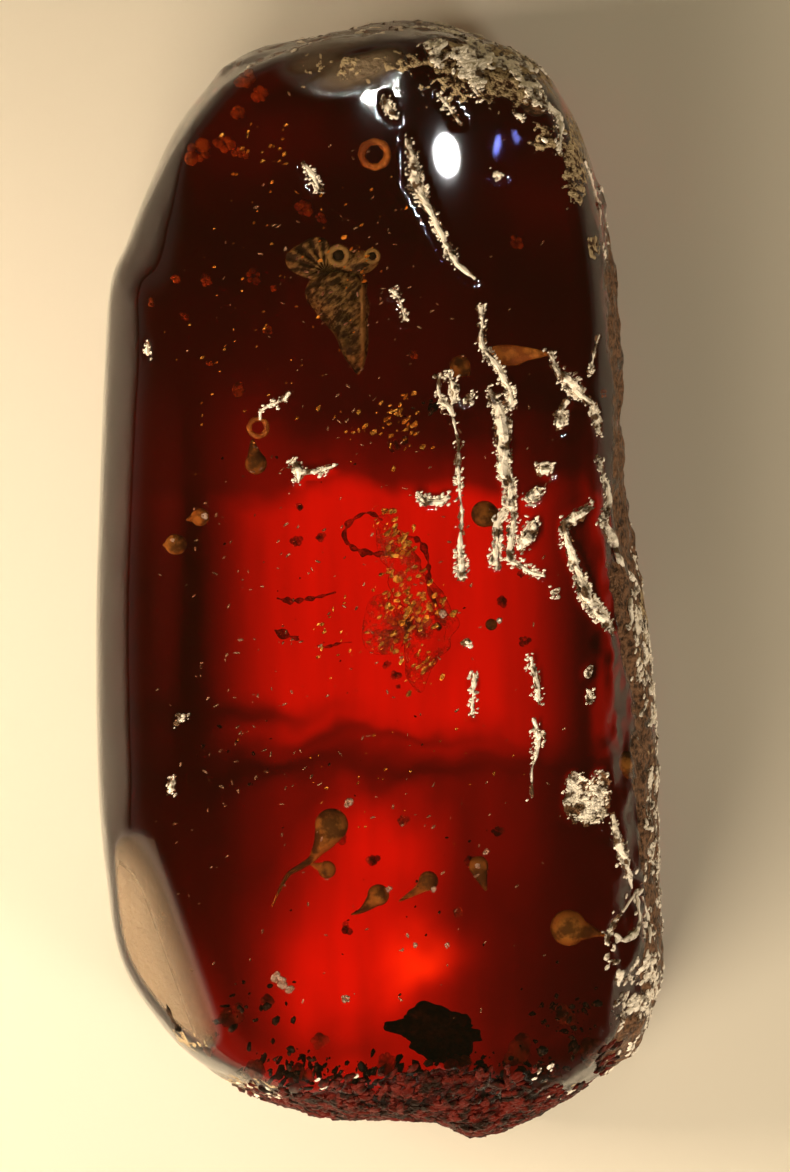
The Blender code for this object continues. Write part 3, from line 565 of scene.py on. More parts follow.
def amber_material():
    """Clear amber with plain absorption, solid and rough where the skin, the cracks or the crust reach a threshold."""
    made, tree, shader = blank_material("red amber")
    place = object_place(tree)
    rough, pale, crack, dark_foot, ground = (attribute(tree, n) for n in ("rough", "pale", "crack", "dark_foot", "ground"))
    patches = noise(tree, place, 900.0, 2.0, 0.6)
    grains = noise(tree, place, 3600.0, 2.0, 0.65)
    cells = node(tree, "TexVoronoi", {"Vector": place, "Scale": 1300.0}, feature="DISTANCE_TO_EDGE")
    net = step_node(tree, cells.outputs["Distance"], 0.16, 0.03)
    uneven = formula(tree, "ADD", times(tree, patches, 0.9), times(tree, grains, 0.8))
    netted = times_plus(tree, net, 0.22, uneven)
    # The pale skin, in patches and a net, is partly the rind's own colour and partly painted glints.
    skin = step_node(tree, formula(tree, "ADD", pale, netted), 1.46, 1.56)
    # The cracks' beds turn solid and dark brown: torn amber, with painted shade in the gaps between the grains.
    torn_bed_with_painted_shade = step_node(tree, times_plus(tree, grains, 0.9, crack), 1.20, 1.28)
    crust = step_node(tree, times_plus(tree, patches, 0.8, rough), 0.75, 0.95)
    solid = formula(tree, "MAXIMUM", formula(tree, "MAXIMUM", skin, torn_bed_with_painted_shade), times(tree, crust, CRUST_SOLID))
    brown = mixed(tree, step_node(tree, grains, 0.35, 0.62), RIND_DARK, RIND_BROWN)
    # Darker and redder in the middle of the foot, mottled by noise.
    brown = mixed(tree, dark_foot, brown, mixed(tree, step_node(tree, patches, 0.42, 0.58), FOOT_DARK, FOOT_RED))
    # Painted glints in part: the pale grains of the skin over the brown.
    shade = mixed(tree, times(tree, skin, step_node(tree, grains, 0.40, 0.58)), brown, PALE_RIND_AND_PAINTED_GLINT)
    # Painted reflection: the haze colour, in part on the ground facet and wholly on the striped patch.
    shade = mixed(tree, formula(tree, "GREATER_THAN", ground, solid), shade, HAZE_AND_PAINTED_REFLECTION)
    solid = formula(tree, "MAXIMUM", solid, times(tree, ground, HAZE_AND_REFLECTION_SOLID))
    feed(tree, shader, {
        "Base Color": mixed(tree, step_node(tree, solid, 0.0, 0.12), CLEAR, shade),
        "Transmission Weight": formula(tree, "SUBTRACT", 1.0, solid),
        "Roughness": times_plus(tree, solid, SKIN_ROUGHNESS, POLISH_ROUGHNESS),
        "Specular IOR Level": times_plus(tree, solid, -0.42, 0.5),
        "Normal": bumped(tree, grains, 0.00025, solid),
        "IOR": AMBER_IOR,
    })
    inside = node(tree, "VolumeAbsorption", {"Color": AMBER_COLOUR, "Density": AMBER_DENSITY})
    tree.links.new(inside.outputs[0], tree.nodes["Material Output"].inputs["Volume"])
    return made


# %% [markdown]
# ## The clear stone
#
# The stone is one natural piece. Its plain parts are two halves, because the insects lie between them, and
# one clear piece stands for both: a seam between two clear pieces would show. Marching cubes would also
# find the surface, but the lattice of a box slid on to it gives even quads and no gaps.

# %% Build the stone
CELLS = (117, 230, 60)
SHARES = {"rough": crust_amount, "pale": pale_and_glint_amount, "dark_foot": dark_foot_amount, "ground": dull_and_reflection_amount}


def make_stone():
    """The box lattice slid in to the stone's surface, along lines from its middle plane."""
    unit, quads = box_lattice(*CELLS)
    outer = (unit - 0.5) * np.array([WIDTH, LENGTH, THICKNESS])
    inner = outer * np.array([1.0 - THICKNESS / WIDTH, 1.0 - THICKNESS / LENGTH, 0.0])
    middle = np.array([0.0, 0.0, THICKNESS / 2])
    points = to_surface(inner + middle, outer + middle, stone_distance)
    crack = carve(points)
    stone = mesh_object("amber_stone", points, quads, amber_material())
    point_value(stone, "crack", crack)
    for name, amount in SHARES.items():
        point_value(stone, name, amount(points))
    return stone, points, quads, crack


stone, stone_points, stone_quads, stone_crack = make_stone()
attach(stone, "root")
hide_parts("amber_front", "amber_back")
print("amber_stone:", len(stone.data.polygons), "quads")

# %% [markdown]
# ## Grains on the rind and along the cracks
#
# Broken amber glints because it is made of many small facets. Bump in the material can't give the outline
# of a grain, so each is one small lump of twenty sides, stretched along the grain of the break. They are
# strewn over the stone's own faces, thickly where the shares are high, and each kind makes one mesh. Their
# colour is noise of bright and dark grains, which are painted glints and painted shade between them.


# %% Strew the grains
LUMP = np.array([[0, 0, 1], [0.89, 0, 0.45], [0.28, 0.85, 0.45], [-0.72, 0.53, 0.45], [-0.72, -0.53, 0.45],
                 [0.28, -0.85, 0.45], [0.72, 0.53, -0.45], [-0.28, 0.85, -0.45], [-0.89, 0, -0.45],
                 [-0.28, -0.85, -0.45], [0.72, -0.53, -0.45], [0, 0, -1]])
LUMP_FACES = np.array([[0, 1, 2], [0, 2, 3], [0, 3, 4], [0, 4, 5], [0, 5, 1], [1, 6, 2], [2, 7, 3], [3, 8, 4],
                       [4, 9, 5], [5, 10, 1], [2, 6, 7], [3, 7, 8], [4, 8, 9], [5, 9, 10], [1, 10, 6],
                       [11, 7, 6], [11, 8, 7], [11, 9, 8], [11, 10, 9], [11, 6, 10]])
GRAIN_DIRECTION = np.array([0.80, 0.60, 0.0])
GRAIN_WIDTH, GRAIN_HEIGHT, GRAIN_JITTER = (0.35, 0.65), 0.45, 0.30


def scatter(template, faces, places, frames, sizes):
    """Copies of one small mesh: each point is its share of three frame vectors times the sizes, plus the place."""
    points = np.einsum("nij,kj,nj->nki", frames, template, sizes) + places[:, None, :]
    numbers = faces[None] + (np.arange(len(places)) * len(template))[:, None, None]
    return points.reshape(-1, 3), numbers.reshape(-1, 3)


def frames_on(normals, along, jitter):
    """Three vectors for each place: along the surface near the given direction, across it, and out of it."""
    along = along + jitter * RANDOM.normal(size=normals.shape)
    normals = normals + 0.6 * jitter * RANDOM.normal(size=normals.shape)
    normals /= np.linalg.norm(normals, axis=1, keepdims=True)
    along = along - np.sum(along * normals, axis=1, keepdims=True) * normals
    along /= np.linalg.norm(along, axis=1, keepdims=True)
    return np.stack([along, np.cross(normals, along), normals], axis=2)


def strewn_on_stone(weights, count):
    """Random places on the stone's faces, drawn by weight times area, with their outward normals."""
    a, b, c, d = (stone_points[stone_quads[:, k]] for k in range(4))
    normals = np.cross(c - a, d - b)
    area = np.linalg.norm(normals, axis=1)
    share = weights[stone_quads].mean(axis=1) * area
    chosen = RANDOM.choice(len(stone_quads), count, p=share / share.sum())
    u, v = RANDOM.random((2, count, 1))
    places = (a[chosen] * (1 - u) + b[chosen] * u) * (1 - v) + (d[chosen] * (1 - u) + c[chosen] * u) * v
    return places, normals[chosen] / area[chosen][:, None]


def painted_glint_grain_material():
    """Cream broken amber, glossy enough to glint, with bright and dark grains by noise: painted glints and painted
    shade.
    """
    made, tree, shader = blank_material("cream grains with painted glints")
    # Bright grains are painted glints, and dark ones painted shade between them.
    share = step_node(tree, noise(tree, object_place(tree), 2300.0), 0.37, 0.53)
    shade = mixed(tree, share, (0.09, 0.05, 0.025, 1), (1.0, 0.90, 0.77, 1))
    feed(tree, shader, {"Base Color": shade, "Roughness": 0.22})
    return made


def make_grains(name, weights, count, low, high, surface, smooth):
    """One mesh of grains, each of its own length from low to high, on the stone where the weights are high."""
    places, normals = strewn_on_stone(weights, count)
    length = RANDOM.uniform(low, high, count)
    sizes = np.stack([length, length * RANDOM.uniform(*GRAIN_WIDTH, count), length * GRAIN_HEIGHT], axis=1)
    points, faces = scatter(LUMP, LUMP_FACES, places, frames_on(normals, GRAIN_DIRECTION, GRAIN_JITTER), sizes)
    made = mesh_object(name, points, faces, surface, smooth)
    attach(made, "root")
    print(name, len(faces), "triangles")
    return made


def clumped(low, high, cell, seed):
    """Noise on the stone's points, cut to a share from 0 to 1, so that grains lie in clumps."""
    return smooth_step(low, high, value_noise(stone_points, cell, seed))


# %% Grains of the cracks and of the rind
CRACK_GRAINS, RIND_GRAINS = (6400, 0.05, 0.13), (4300, 0.07, 0.24)  # how many, shortest and longest
grains_with_painted_glints = painted_glint_grain_material()
crack_weight = smooth_step(0.66, 0.95, stone_crack) ** 2 * clumped(-0.45, 0.15, 0.36, 37)
make_grains("crack_grains", crack_weight, *CRACK_GRAINS, grains_with_painted_glints, True)
rind_weight = pale_and_glint_amount(stone_points) * smooth_step(0.2, 0.6, rind_amount(stone_points))
rind_weight *= clumped(-0.20, 0.40, 0.8, 31) * clumped(-0.40, 0.20, 0.4, 32)
make_grains("rind_grains", rind_weight, *RIND_GRAINS, grains_with_painted_glints, False)

# %% [markdown]
# ## Rods and lenses
#
# Legs, wings and drops are all thin round things, so the sealed pieces are built from two surfaces. A rod
# is a ring of points carried along a path, with its own radius at every step and a point at each end. A
# lens is a pole and rings of points that spread to a free outline, above and below. Both are closed.


# %% Rod
def rod(rows, sides=10, steps=4, lumps=0.0, lump_cell=0.3, seed=51):
    """A closed rod through rows of x, y, z and radius: radius times (cos, sin) of the turn, square to the path."""
    path = open_spline(rows, steps)
    centre, radius = path[:, :3], np.maximum(path[:, 3], 0.004)
    ahead = np.gradient(centre, axis=0)
    ahead /= np.linalg.norm(ahead, axis=1, keepdims=True)
    across = np.cross(ahead, np.array([0.0, 0.0, 1.0]))
    across /= np.linalg.norm(across, axis=1, keepdims=True)
    out = np.cross(across, ahead)
    turn = turns(sides)
    ring = across[:, None] * np.cos(turn)[None, :, None] + out[:, None] * np.sin(turn)[None, :, None]
    swell = 1.0 + lumps * value_noise(centre[:, None] + radius[:, None, None] * ring, lump_cell, seed)
    points = (centre[:, None] + radius[:, None, None] * ring * swell[..., None]).reshape(-1, 3)
    tips = [centre[:1] - ahead[:1] * radius[0] * 0.5, centre[-1:] + ahead[-1:] * radius[-1] * 0.5]
    points = np.concatenate([points, *tips])
    start, near = np.arange(len(path) - 1)[:, None] * sides, np.arange(sides)[None]
    far = (near + 1) % sides
    a, b, c, d = start + near, start + far, start + sides + far, start + sides + near
    walls = np.concatenate([np.stack([a, b, c], -1), np.stack([a, c, d], -1)]).reshape(-1, 3)
    first, last = np.full(sides, len(points) - 2), np.full(sides, len(points) - 1)
    tail = (len(path) - 1) * sides
    caps = [np.stack([first, far[0], near[0]], -1), np.stack([last, tail + near[0], tail + far[0]], -1)]
    return points, np.concatenate([walls, *caps])


# %% Lens
def lens(outline, top, under, sides=96, rings=20, power=2.0, detail=None, ragged=0.0):
    """A closed lens: height top or under times the root of 1 - s^power, s being the share of the way to the rim.

    detail(x, y, upper) adds to the height, and fades out at the rim. A ragged rim has noise on its reach.
    """
    spread = np.abs(np.array(outline)).max(axis=0)
    turn = turns(sides)
    share = np.sin(np.linspace(0, math.pi / 2, rings + 1))[1:, None]
    rim = np.stack([np.cos(turn), np.sin(turn), 0 * turn], 1)
    rag = 1.0 + ragged * (value_noise(rim, 0.31, 52) + 0.6 * value_noise(rim, 0.12, 53))
    far_out = polar_outline(outline, *spread)(turn) * rag
    x = share * far_out[None] * np.cos(turn)[None] * spread[0]
    y = share * far_out[None] * np.sin(turn)[None] * spread[1]
    tall = np.sqrt(np.maximum(1.0 - share**power, 0.0)) * np.ones_like(x)
    layers = []
    for upper, height in ((True, top), (False, -under)):
        z = height * tall
        if detail is not None:
            z = z + detail(x, y, upper) * np.minimum(1.0, 3.0 * tall)
        layers.append(np.stack([x, y, z], -1))
    above, below = layers[0].reshape(-1, 3), layers[1][:-1].reshape(-1, 3)
    points = np.concatenate([above, below, [[0.0, 0.0, top], [0.0, 0.0, -under]]])
    near = np.arange(sides)
    far = (near + 1) % sides
    faces = []
    upper_rows = [near + k * sides for k in range(rings)]
    lower_rows = [len(above) + near + k * sides for k in range(rings - 1)] + [upper_rows[-1]]
    for rows, pole, out in ((upper_rows, len(points) - 2, True), (lower_rows, len(points) - 1, False)):
        strip = [np.stack([np.full(sides, pole), rows[0][near], rows[0][far]], -1)]
        for inner, outer in zip(rows[:-1], rows[1:]):
            strip.append(np.stack([inner[near], outer[near], outer[far]], -1))
            strip.append(np.stack([inner[near], outer[far], inner[far]], -1))
        strip = np.concatenate(strip)
        faces.append(strip if out else strip[:, ::-1])
    return points, np.concatenate(faces)


def circle_outline(radius):
    """Twelve points round a circle."""
    turn = turns(12)
    return list(zip(radius * np.cos(turn), radius * np.sin(turn)))


def rough_by(height, cell, seed):
    """A lens's detail that is noise of one size."""
    return lambda x, y, upper: height * value_noise(np.stack([x, y, 0 * x], -1), cell, seed)


# %% [markdown]
# ## Sealed in the amber
#
# Whatever the resin caught lies along its old bedding, a plane that slants a little, or at a depth under the
# face. Each piece goes to its place in its own mesh and rides the one body. Its least depth is
# printed, because a piece that broke the surface would look glued on.

# %% Places under the face
PARTING_Z, PARTING_SLOPE = 9.70, 0.062


def joined(pieces):
    """Several point and face arrays as one."""
    starts = np.cumsum([0] + [len(points) for points, _ in pieces[:-1]])
    return np.concatenate([p for p, _ in pieces]), np.concatenate([f + start for (_, f), start in zip(pieces, starts)])


def moved(piece, offset):
    """The piece's points carried by an offset."""
    return piece[0] + np.array(offset), piece[1]


def below_surface(x, y, depth):
    """The height that lies a depth under the lowest of the face and the four flat planes above a place."""
    heights = [face_height(x, y)]
    for (nx, ny, nz), reach, _ in (BOTTOM_BREAK, RIGHT_BREAK, TOP_BREAK, GROUND):
        heights.append((reach - nx * x - ny * y) / nz)
    return np.minimum.reduce(heights) - depth


def settled(points, place):
    """Turns points about X to lie along the slanted bedding, and carries them to their place on it."""
    tilt = math.atan(PARTING_SLOPE)
    x, y, z = points.T
    turned = np.stack([x, y * math.cos(tilt) - z * math.sin(tilt), y * math.sin(tilt) + z * math.cos(tilt)], 1)
    return turned + np.array([place[0], place[1], PARTING_Z + PARTING_SLOPE * place[1]])


def sealed(name, piece, surface, place=None, replaced=None, smooth=True):
    """A finished sealed piece at its place, and in the stead of its plain node if it has one."""
    points = piece[0] if place is None else settled(piece[0], place)
    made = mesh_object(name, points, piece[1], surface, smooth)
    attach(made, "root")
    if replaced:
        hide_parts(replaced)
    print(name, len(piece[1]), "triangles, nearest to the surface:", round(-stone_distance(points).max(), 2), "mm")
    return made


# %% [markdown]
# ## The small insect
#
# Roofed wings over a belly, a striated fan of a front wing, and two ringed eyes. The wings are pitted and
# mottled, and their right border is a raised pale stripe. It could be one carved lump, but lenses, rings
# and rods overlapped in one mesh keep every part's edge crisp at five millimetres long.

# %% Outlines of the small insect
WEDGE_AT = (-1.6, 11.37)
WING_OUTLINE = [
    (1.15, -0.3), (1.12, 0.4), (0.91, 1.1), (0.2, 1.3), (-0.79, 1.25), (-1.3, 0.7), (-1.35, 0.15), (-0.8, -0.66),
    (-0.2, -1.37), (0.12, -2.1), (0.42, -2.6), (0.79, -3.0), (1.08, -2.4), (1.2, -1.66),
]
FAN_OUTLINE = [
    (0.15, -0.15), (0.3, 0.5), (0.1, 1.2), (-0.4, 1.4), (-1.0, 1.15), (-1.6, 0.7), (-1.5, 0.1), (-0.6, -0.35),
]
FAN_ROOT, FAN_PLEATS, PLEAT_DEPTH = (-0.55, 1.25), 17, 0.05
WEDGE_EYES = [(-0.02, 1.90, 0.48), (1.35, 1.88, 0.34)]
WEDGE_HIPS = [(-0.35, 0.6), (0.80, 0.6), (-0.25, 0.0), (0.80, 0.0), (0.0, -0.7), (0.75, -0.7)]
DIAGONAL = (0.78, 0.62)
EYE_RIM, WING_BORDER = 0.74, (0.9, 0.2)
HEAD_OUTLINE = [(1.0, 0.0), (0.6, 0.42), (0, 0.5), (-0.6, 0.42), (-1.0, 0), (-0.6, -0.42), (0, -0.5), (0.6, -0.42)]


def wing_detail(x, y, upper):
    """Roof ridge, pits and lumps drawn out along the diagonal, and the raised border on the right."""
    cosine, sine = DIAGONAL
    drawn = np.stack([(x * cosine + y * sine) * 0.45, y * cosine - x * sine, 0 * x], -1)
    pits = 0.10 * value_noise(drawn, 0.17, 61) + 0.06 * value_noise(drawn, 0.08, 62)
    border = 0.10 * np.exp(-(((x - 0.98) / 0.09) ** 2)) * smooth_step(*WING_BORDER, y)
    ridge = -0.16 * np.minimum(1.0, np.abs(x))
    return (pits + border + ridge) if upper else pits * 0.5


def fan_detail(x, y, upper):
    """Pleats that run out from the fan's root: a cosine of the turn round it."""
    return PLEAT_DEPTH * np.cos(FAN_PLEATS * np.arctan2(y, x)) * (1.0 if upper else 0.5)


RING_STEPS, TUBE_STEPS, RING_LUMPS = 28, 12, 0.25


def ring(centre, radius, thickness):
    """A torus with lumps: a small circle carried round a large one."""
    u, v = np.meshgrid(turns(RING_STEPS), turns(TUBE_STEPS), indexing="ij")
    around = np.stack([np.cos(u), np.sin(u), 0 * u], -1)
    small = thickness * (1.0 + RING_LUMPS * value_noise(around * radius + np.array([0, 0, 3.0]), 0.16, 63))
    points = around * (radius + small * np.cos(v))[..., None] + np.stack([0 * u, 0 * u, small * np.sin(v)], -1)
    i, j = np.meshgrid(np.arange(RING_STEPS), np.arange(TUBE_STEPS), indexing="ij")
    next_i, next_j = (i + 1) % RING_STEPS * TUBE_STEPS, (j + 1) % TUBE_STEPS
    a, b, c, d = i * TUBE_STEPS + j, next_i + j, next_i + next_j, i * TUBE_STEPS + next_j
    faces = np.concatenate([np.stack([a, b, c], -1).reshape(-1, 3), np.stack([a, c, d], -1).reshape(-1, 3)])
    return points.reshape(-1, 3) + np.array(centre), faces


# %% Build the small insect
def make_wedge_insect():
    """Wings, belly, head, eyes, fan and six folded legs, as one piece."""
    pieces = [
        lens(WING_OUTLINE, 0.60, 0.35, 150, 34, 3.0, wing_detail),
        moved(lens(circle_outline(1.0), 0.40, 0.40, 40, 10), (0.25, -0.3, -0.22)),
        moved(lens(HEAD_OUTLINE, 0.36, 0.36, 40, 10, 2.0, rough_by(0.05, 0.2, 64)), (0.62, 1.62, 0.02)),
        moved(lens(FAN_OUTLINE, 0.20, 0.14, 136, 14, 4.0, fan_detail), (*FAN_ROOT, 0.08)),
    ]
    for x, y, radius in WEDGE_EYES:
        pieces.append(ring((x, y, 0.34), radius * EYE_RIM, radius * 0.26))
        pieces.append(moved(lens(circle_outline(radius * 0.55), 0.22, 0.3, 24, 8), (x, y, 0.16)))
    for x, y in WEDGE_HIPS:
        side = math.copysign(1.0, x - 0.2)
        rows = [(x, y, 0.0, 0.085), (x + side * 0.28, y + 0.15, -0.20, 0.085), (x + side * 0.17, y - 0.5, -0.50, 0.06)]
        pieces.append(rod(rows, 8, 4))
    return joined(pieces)


def wing_material():
    """Tan and dark olive in blotches along the diagonal, pale on the pleats and the border, dark in the eyes' pits."""
    made, tree, shader = blank_material("mottled wing")
    turned = {"Vector": object_place(tree), "Rotation": (0, 0, 0.67), "Scale": (2.4, 1.0, 1.0)}
    drawn = node(tree, "Mapping", turned, vector_type="TEXTURE").outputs[0]
    blotch = noise(tree, drawn, 4200.0, 4.0, 0.65)
    share = step_node(tree, times_plus(tree, attribute(tree, "light"), 0.35, blotch), 0.50, 0.78)
    feed(tree, shader, {
        "Base Color": mixed(tree, share, (0.045, 0.042, 0.012, 1), (0.64, 0.72, 0.28, 1)),
        "Normal": bumped(tree, blotch, 0.00008, 0.7),
        "Roughness": 0.45,
    })
    return made


def wedge_light(x, y):
    """How pale each point is: the border's hill, a cosine over the fan's pleats, and a pale rim round each dark eye."""
    light = 0.25 + 0.9 * np.exp(-(((x - 0.98) / 0.10) ** 2)) * smooth_step(*WING_BORDER, y)
    fan_side = smooth_step(-0.35, -0.6, x) * smooth_step(1.15, 1.35, y)
    light += fan_side * (-0.05 + 0.30 * np.cos(FAN_PLEATS * np.arctan2(y - FAN_ROOT[1], x - FAN_ROOT[0])))
    for eye_x, eye_y, radius in WEDGE_EYES:
        away = np.hypot(x - eye_x, y - eye_y) / radius
        light += 0.8 * np.exp(-(((away - EYE_RIM) / 0.25) ** 2)) - 1.2 * smooth_step(0.55, 0.3, away)
    return light


wedge_piece = make_wedge_insect()
wedge = sealed("wedge_insect_wings", wedge_piece, wing_material(), WEDGE_AT, "wedge_insect")
point_value(wedge, "light", wedge_light(*wedge_piece[0][:, :2].T))

# %% [markdown]
# ## The larger insect
#
# It is broken and mostly hollow, so light passes through its swollen body. The shell has gold and olive
# patches, and its bent legs are rows of dark joints. A thin shell with two walls would need an inner mesh,
# so the body is one closed rod whose index barely bends light, which looks as hollow.

# %% Outlines of the larger insect
GOLD_AT = (1.31, -1.29)
GOLD_BODY = [
    (-1.25, 3.74, 0.34), (-0.75, 2.70, 0.52), (-0.29, 1.74, 0.68), (0.21, 0.83, 0.86), (0.62, 0.08, 1.00),
    (0.80, -0.62, 1.00), (0.55, -1.45, 0.84), (0.33, -2.40, 0.60), (0.40, -3.30, 0.20),
]
GOLD_WING = [
    (0.75, -0.4), (0.75, 0.7), (0.1, 1.1), (-0.8, 0.95), (-1.15, 0.1), (-1.2, -0.9), (-0.7, -1.4), (0.2, -1.3),
]
GOLD_LEGS = [
    [(-1.15, 3.70, 0.10), (-1.65, 4.00, 0.15), (-2.12, 3.88, 0.14), (-2.60, 3.40, 0.17), (-2.66, 2.92, 0.14),
     (-2.24, 2.53, 0.16), (-1.58, 2.34, 0.15), (-0.75, 2.30, 0.06)],
    [(-0.60, 2.85, 0.04), (0.12, 3.00, 0.10), (0.58, 2.57, 0.13), (0.76, 1.70, 0.10), (0.75, 0.90, 0.07),
     (1.10, 0.20, 0.12), (1.6, -0.2, 0.10)],
    [(-3.05, 0.75, 0.03), (-3.60, 0.60, 0.12), (-4.28, 0.46, 0.16), (-5.00, 0.40, 0.14), (-5.45, 0.50, 0.03)],
    [(-4.55, -1.20, 0.03), (-4.95, -1.05, 0.13), (-5.30, -0.95, 0.14), (-5.55, -0.80, 0.03)],
    [(-2.40, -1.30, 0.02), (-2.90, -1.35, 0.09), (-3.40, -1.50, 0.08), (-3.80, -1.45, 0.02)],
]
FLATTENED, SHELL_IOR = 0.8, 1.02


def beaded_leg(rows):
    """A leg of short joints: its radius is the row's, times a share that swells and thins with a sine."""
    path = open_spline(rows, 12)
    length = np.concatenate([[0.0], np.cumsum(np.hypot(*np.diff(path[:, :2], axis=0).T))])
    uneven = value_noise(np.column_stack([path[:, :2], 0 * length]), 0.7, 67)
    radius = path[:, 2] * (0.22 + 0.80 * np.abs(np.sin(length * 5.2 + 1.8 * uneven))) * (1.0 + 0.45 * uneven)
    return rod(np.column_stack([path[:, :2], 0.05 * np.sin(length * 2.0), radius]), 10, 1, 0.55, 0.22)


def make_gold_shell():
    """The flattened, crumpled body and the wing stub."""
    points, faces = rod([(x, y, 0.0, radius) for x, y, radius in GOLD_BODY], 40, 14, 0.30, 0.55)
    points[:, 2] *= FLATTENED
    wing = moved(lens(GOLD_WING, 0.50, 0.32, 72, 16, 3.0, rough_by(0.08, 0.3, 66)), (-0.75, -0.4, 0.0))
    return joined([(points, faces), wing])


def shell_material():
    """A thin clear shell in the amber, with olive and gold patches where it is still whole."""
    made, tree, shader = blank_material("hollow gold shell")
    place = object_place(tree)
    patch = noise(tree, place, 750.0, 4.0, 0.6)
    fine = noise(tree, place, 3800.0, 3.0, 0.6)
    whole = step_node(tree, times_plus(tree, fine, 0.5, patch), 0.72, 0.92)
    shade = mixed(tree, step_node(tree, fine, 0.45, 0.62), (0.20, 0.16, 0.03, 1), (1.0, 0.62, 0.16, 1))
    feed(tree, shader, {
        "Base Color": mixed(tree, whole, (1.0, 0.96, 0.90, 1), shade),
        "Transmission Weight": times_plus(tree, whole, -0.7, 1.0),
        "Normal": bumped(tree, fine, 0.00006, 0.5),
        "Roughness": 0.25,
        "IOR": SHELL_IOR,
    })
    return made


# %% [markdown]
# ## One finish for the small things
#
# Bark, crumbs, drops and spangles differ in colour and in the size of their flecks, not in how they are
# made. So one function makes all their materials: noise picks one of two colours and also gives the bump.
# A clear share lets the red light behind a drop come through it.


# %% Flecked finish, and the larger insect's pieces
def flecked_material(name, first, second, scale, roughness, clear=0.0, metallic=0.0):
    """Two colours in flecks, with a bump of the same grain; a clear share lets the light behind through."""
    made, tree, shader = blank_material(name)
    grain = noise(tree, object_place(tree), scale, 4.0, 0.6)
    feed(tree, shader, {
        "Base Color": mixed(tree, step_node(tree, grain, 0.40, 0.60), first, second),
        "Normal": bumped(tree, grain, 0.0001, 0.8),
        "Roughness": roughness,
        "Transmission Weight": clear,
        "IOR": 1.06 if clear else 1.4,
        "Metallic": metallic,
    })
    return made


sealed("gold_insect_shell", make_gold_shell(), shell_material(), GOLD_AT, "gold_insect")
leg_finish = flecked_material("dark joints", (0.70, 0.30, 0.16, 1), (0.20, 0.07, 0.04, 1), 4000.0, 0.4, 0.8)
sealed("gold_insect_legs", joined([beaded_leg(leg) for leg in GOLD_LEGS]), leg_finish, GOLD_AT)

# %% [markdown]
# ## Bark
#
# A flake of black bark lies near the foot. It broke along its layers, so a lens with a ragged rim and
# noise whose top is cut off flat gives its ledges. Displacing a flat card would leave its edge open.

# %% Bark
BARK_AT = (2.55, -18.6)
BARK_OUTLINE = [
    (1.49, -0.33), (1.25, 0.42), (0.42, 0.91), (-0.62, 1.12), (-1.3, 0.83), (-1.5, 0.45), (-2.1, 0.35),
    (-2.15, 0.1), (-1.55, -0.1), (-1.25, -0.62), (-0.2, -1.08), (1.04, -0.91),
]


def bark_detail(x, y, upper):
    """Ledges and pits: noise of two sizes, the coarser one cut off flat."""
    spots = np.stack([x, y, 0 * x + (3.0 if upper else 0.0)], -1).reshape(-1, 3)
    coarse = np.clip(value_noise(spots, 0.55, 71), -0.4, 0.35)
    return (0.28 * coarse + 0.09 * value_noise(spots, 0.18, 72)).reshape(x.shape)


bark_finish = flecked_material("black bark", (0.035, 0.020, 0.010, 1), (0.005, 0.004, 0.003, 1), 3000.0, 0.75)
bark_piece = lens(BARK_OUTLINE, 0.52, 0.48, 120, 26, 3.0, bark_detail, 0.16)
sealed("bark_flake_rough", bark_piece, bark_finish, BARK_AT, "bark_flake")

# %% [markdown]
# ## Crumbs and the grains of the foot
#
# Dark crumbs of soil and wood settled near the foot, and a few drifted up. The broken foot itself is a
# crust of dark and red grains. Both are the same small lump strewn many times: the crumbs in loose heaps
# under the face, and the foot's grains on its skin.

# %% Crumbs and foot
# Heaps: centre, reach along X and Y, how many and the largest size
CRUMB_HEAPS = [
    (-5.5, -17.8, 1.8, 1.2, 26, 0.40), (-3.2, -20.0, 2.6, 0.6, 130, 0.38), (0.8, -20.6, 2.8, 0.8, 190, 0.42),
    (5.0, -20.3, 2.2, 0.9, 150, 0.44), (8.0, -18.6, 1.8, 1.6, 90, 0.34), (0.0, -13.0, 5.5, 5.0, 34, 0.16),
    (-2.0, 0.0, 5.0, 6.5, 30, 0.14), (2.2, 6.7, 1.0, 0.6, 12, 0.30), (-6.5, -6.8, 2.0, 1.2, 12, 0.22),
]
CRUMB_DEPTHS, CRUMB_STRETCH = (0.6, 3.0), 1.25
FOOT_GRAINS = (2400, 0.10, 0.36)


def strewn_inside(heaps, shallow, deep):
    """Random places under the face, in bell-shaped heaps, each from shallow to deep below the face."""
    rows = np.concatenate([np.tile(heap, (int(heap[4]), 1)) for heap in heaps])
    x = rows[:, 0] + rows[:, 2] * 0.6 * RANDOM.normal(size=len(rows))
    y = rows[:, 1] + rows[:, 3] * 0.6 * RANDOM.normal(size=len(rows))
    depth = RANDOM.uniform(shallow, deep, len(rows))
    places = np.stack([x, y, below_surface(x, y, depth)], 1)
    kept = stone_distance(places) < -0.12 - 0.40 * rows[:, 5] - 0.4 * shallow
    return places[kept], rows[kept, 5]


def make_lumps(heaps, shallow, deep, stretch, facing=(0.0, 0.0, 1.0), thick=0.6):
    """Twenty-sided lumps, each stretched and turned its own way about the direction they face."""
    places, largest = strewn_inside(heaps, shallow, deep)
    count = len(places)
    up = np.tile(facing, (count, 1))
    length = largest * RANDOM.uniform(0.25, 1.0, count) ** 1.5
    sizes = np.stack([length * stretch, length * RANDOM.uniform(0.5, 1.0, count), length * thick], 1) / 2
    points, faces = scatter(LUMP, LUMP_FACES, places, frames_on(up, GRAIN_DIRECTION, thick), sizes)
    return points + 0.15 * np.repeat(length, len(LUMP))[:, None] * RANDOM.normal(size=points.shape) * 0.5, faces


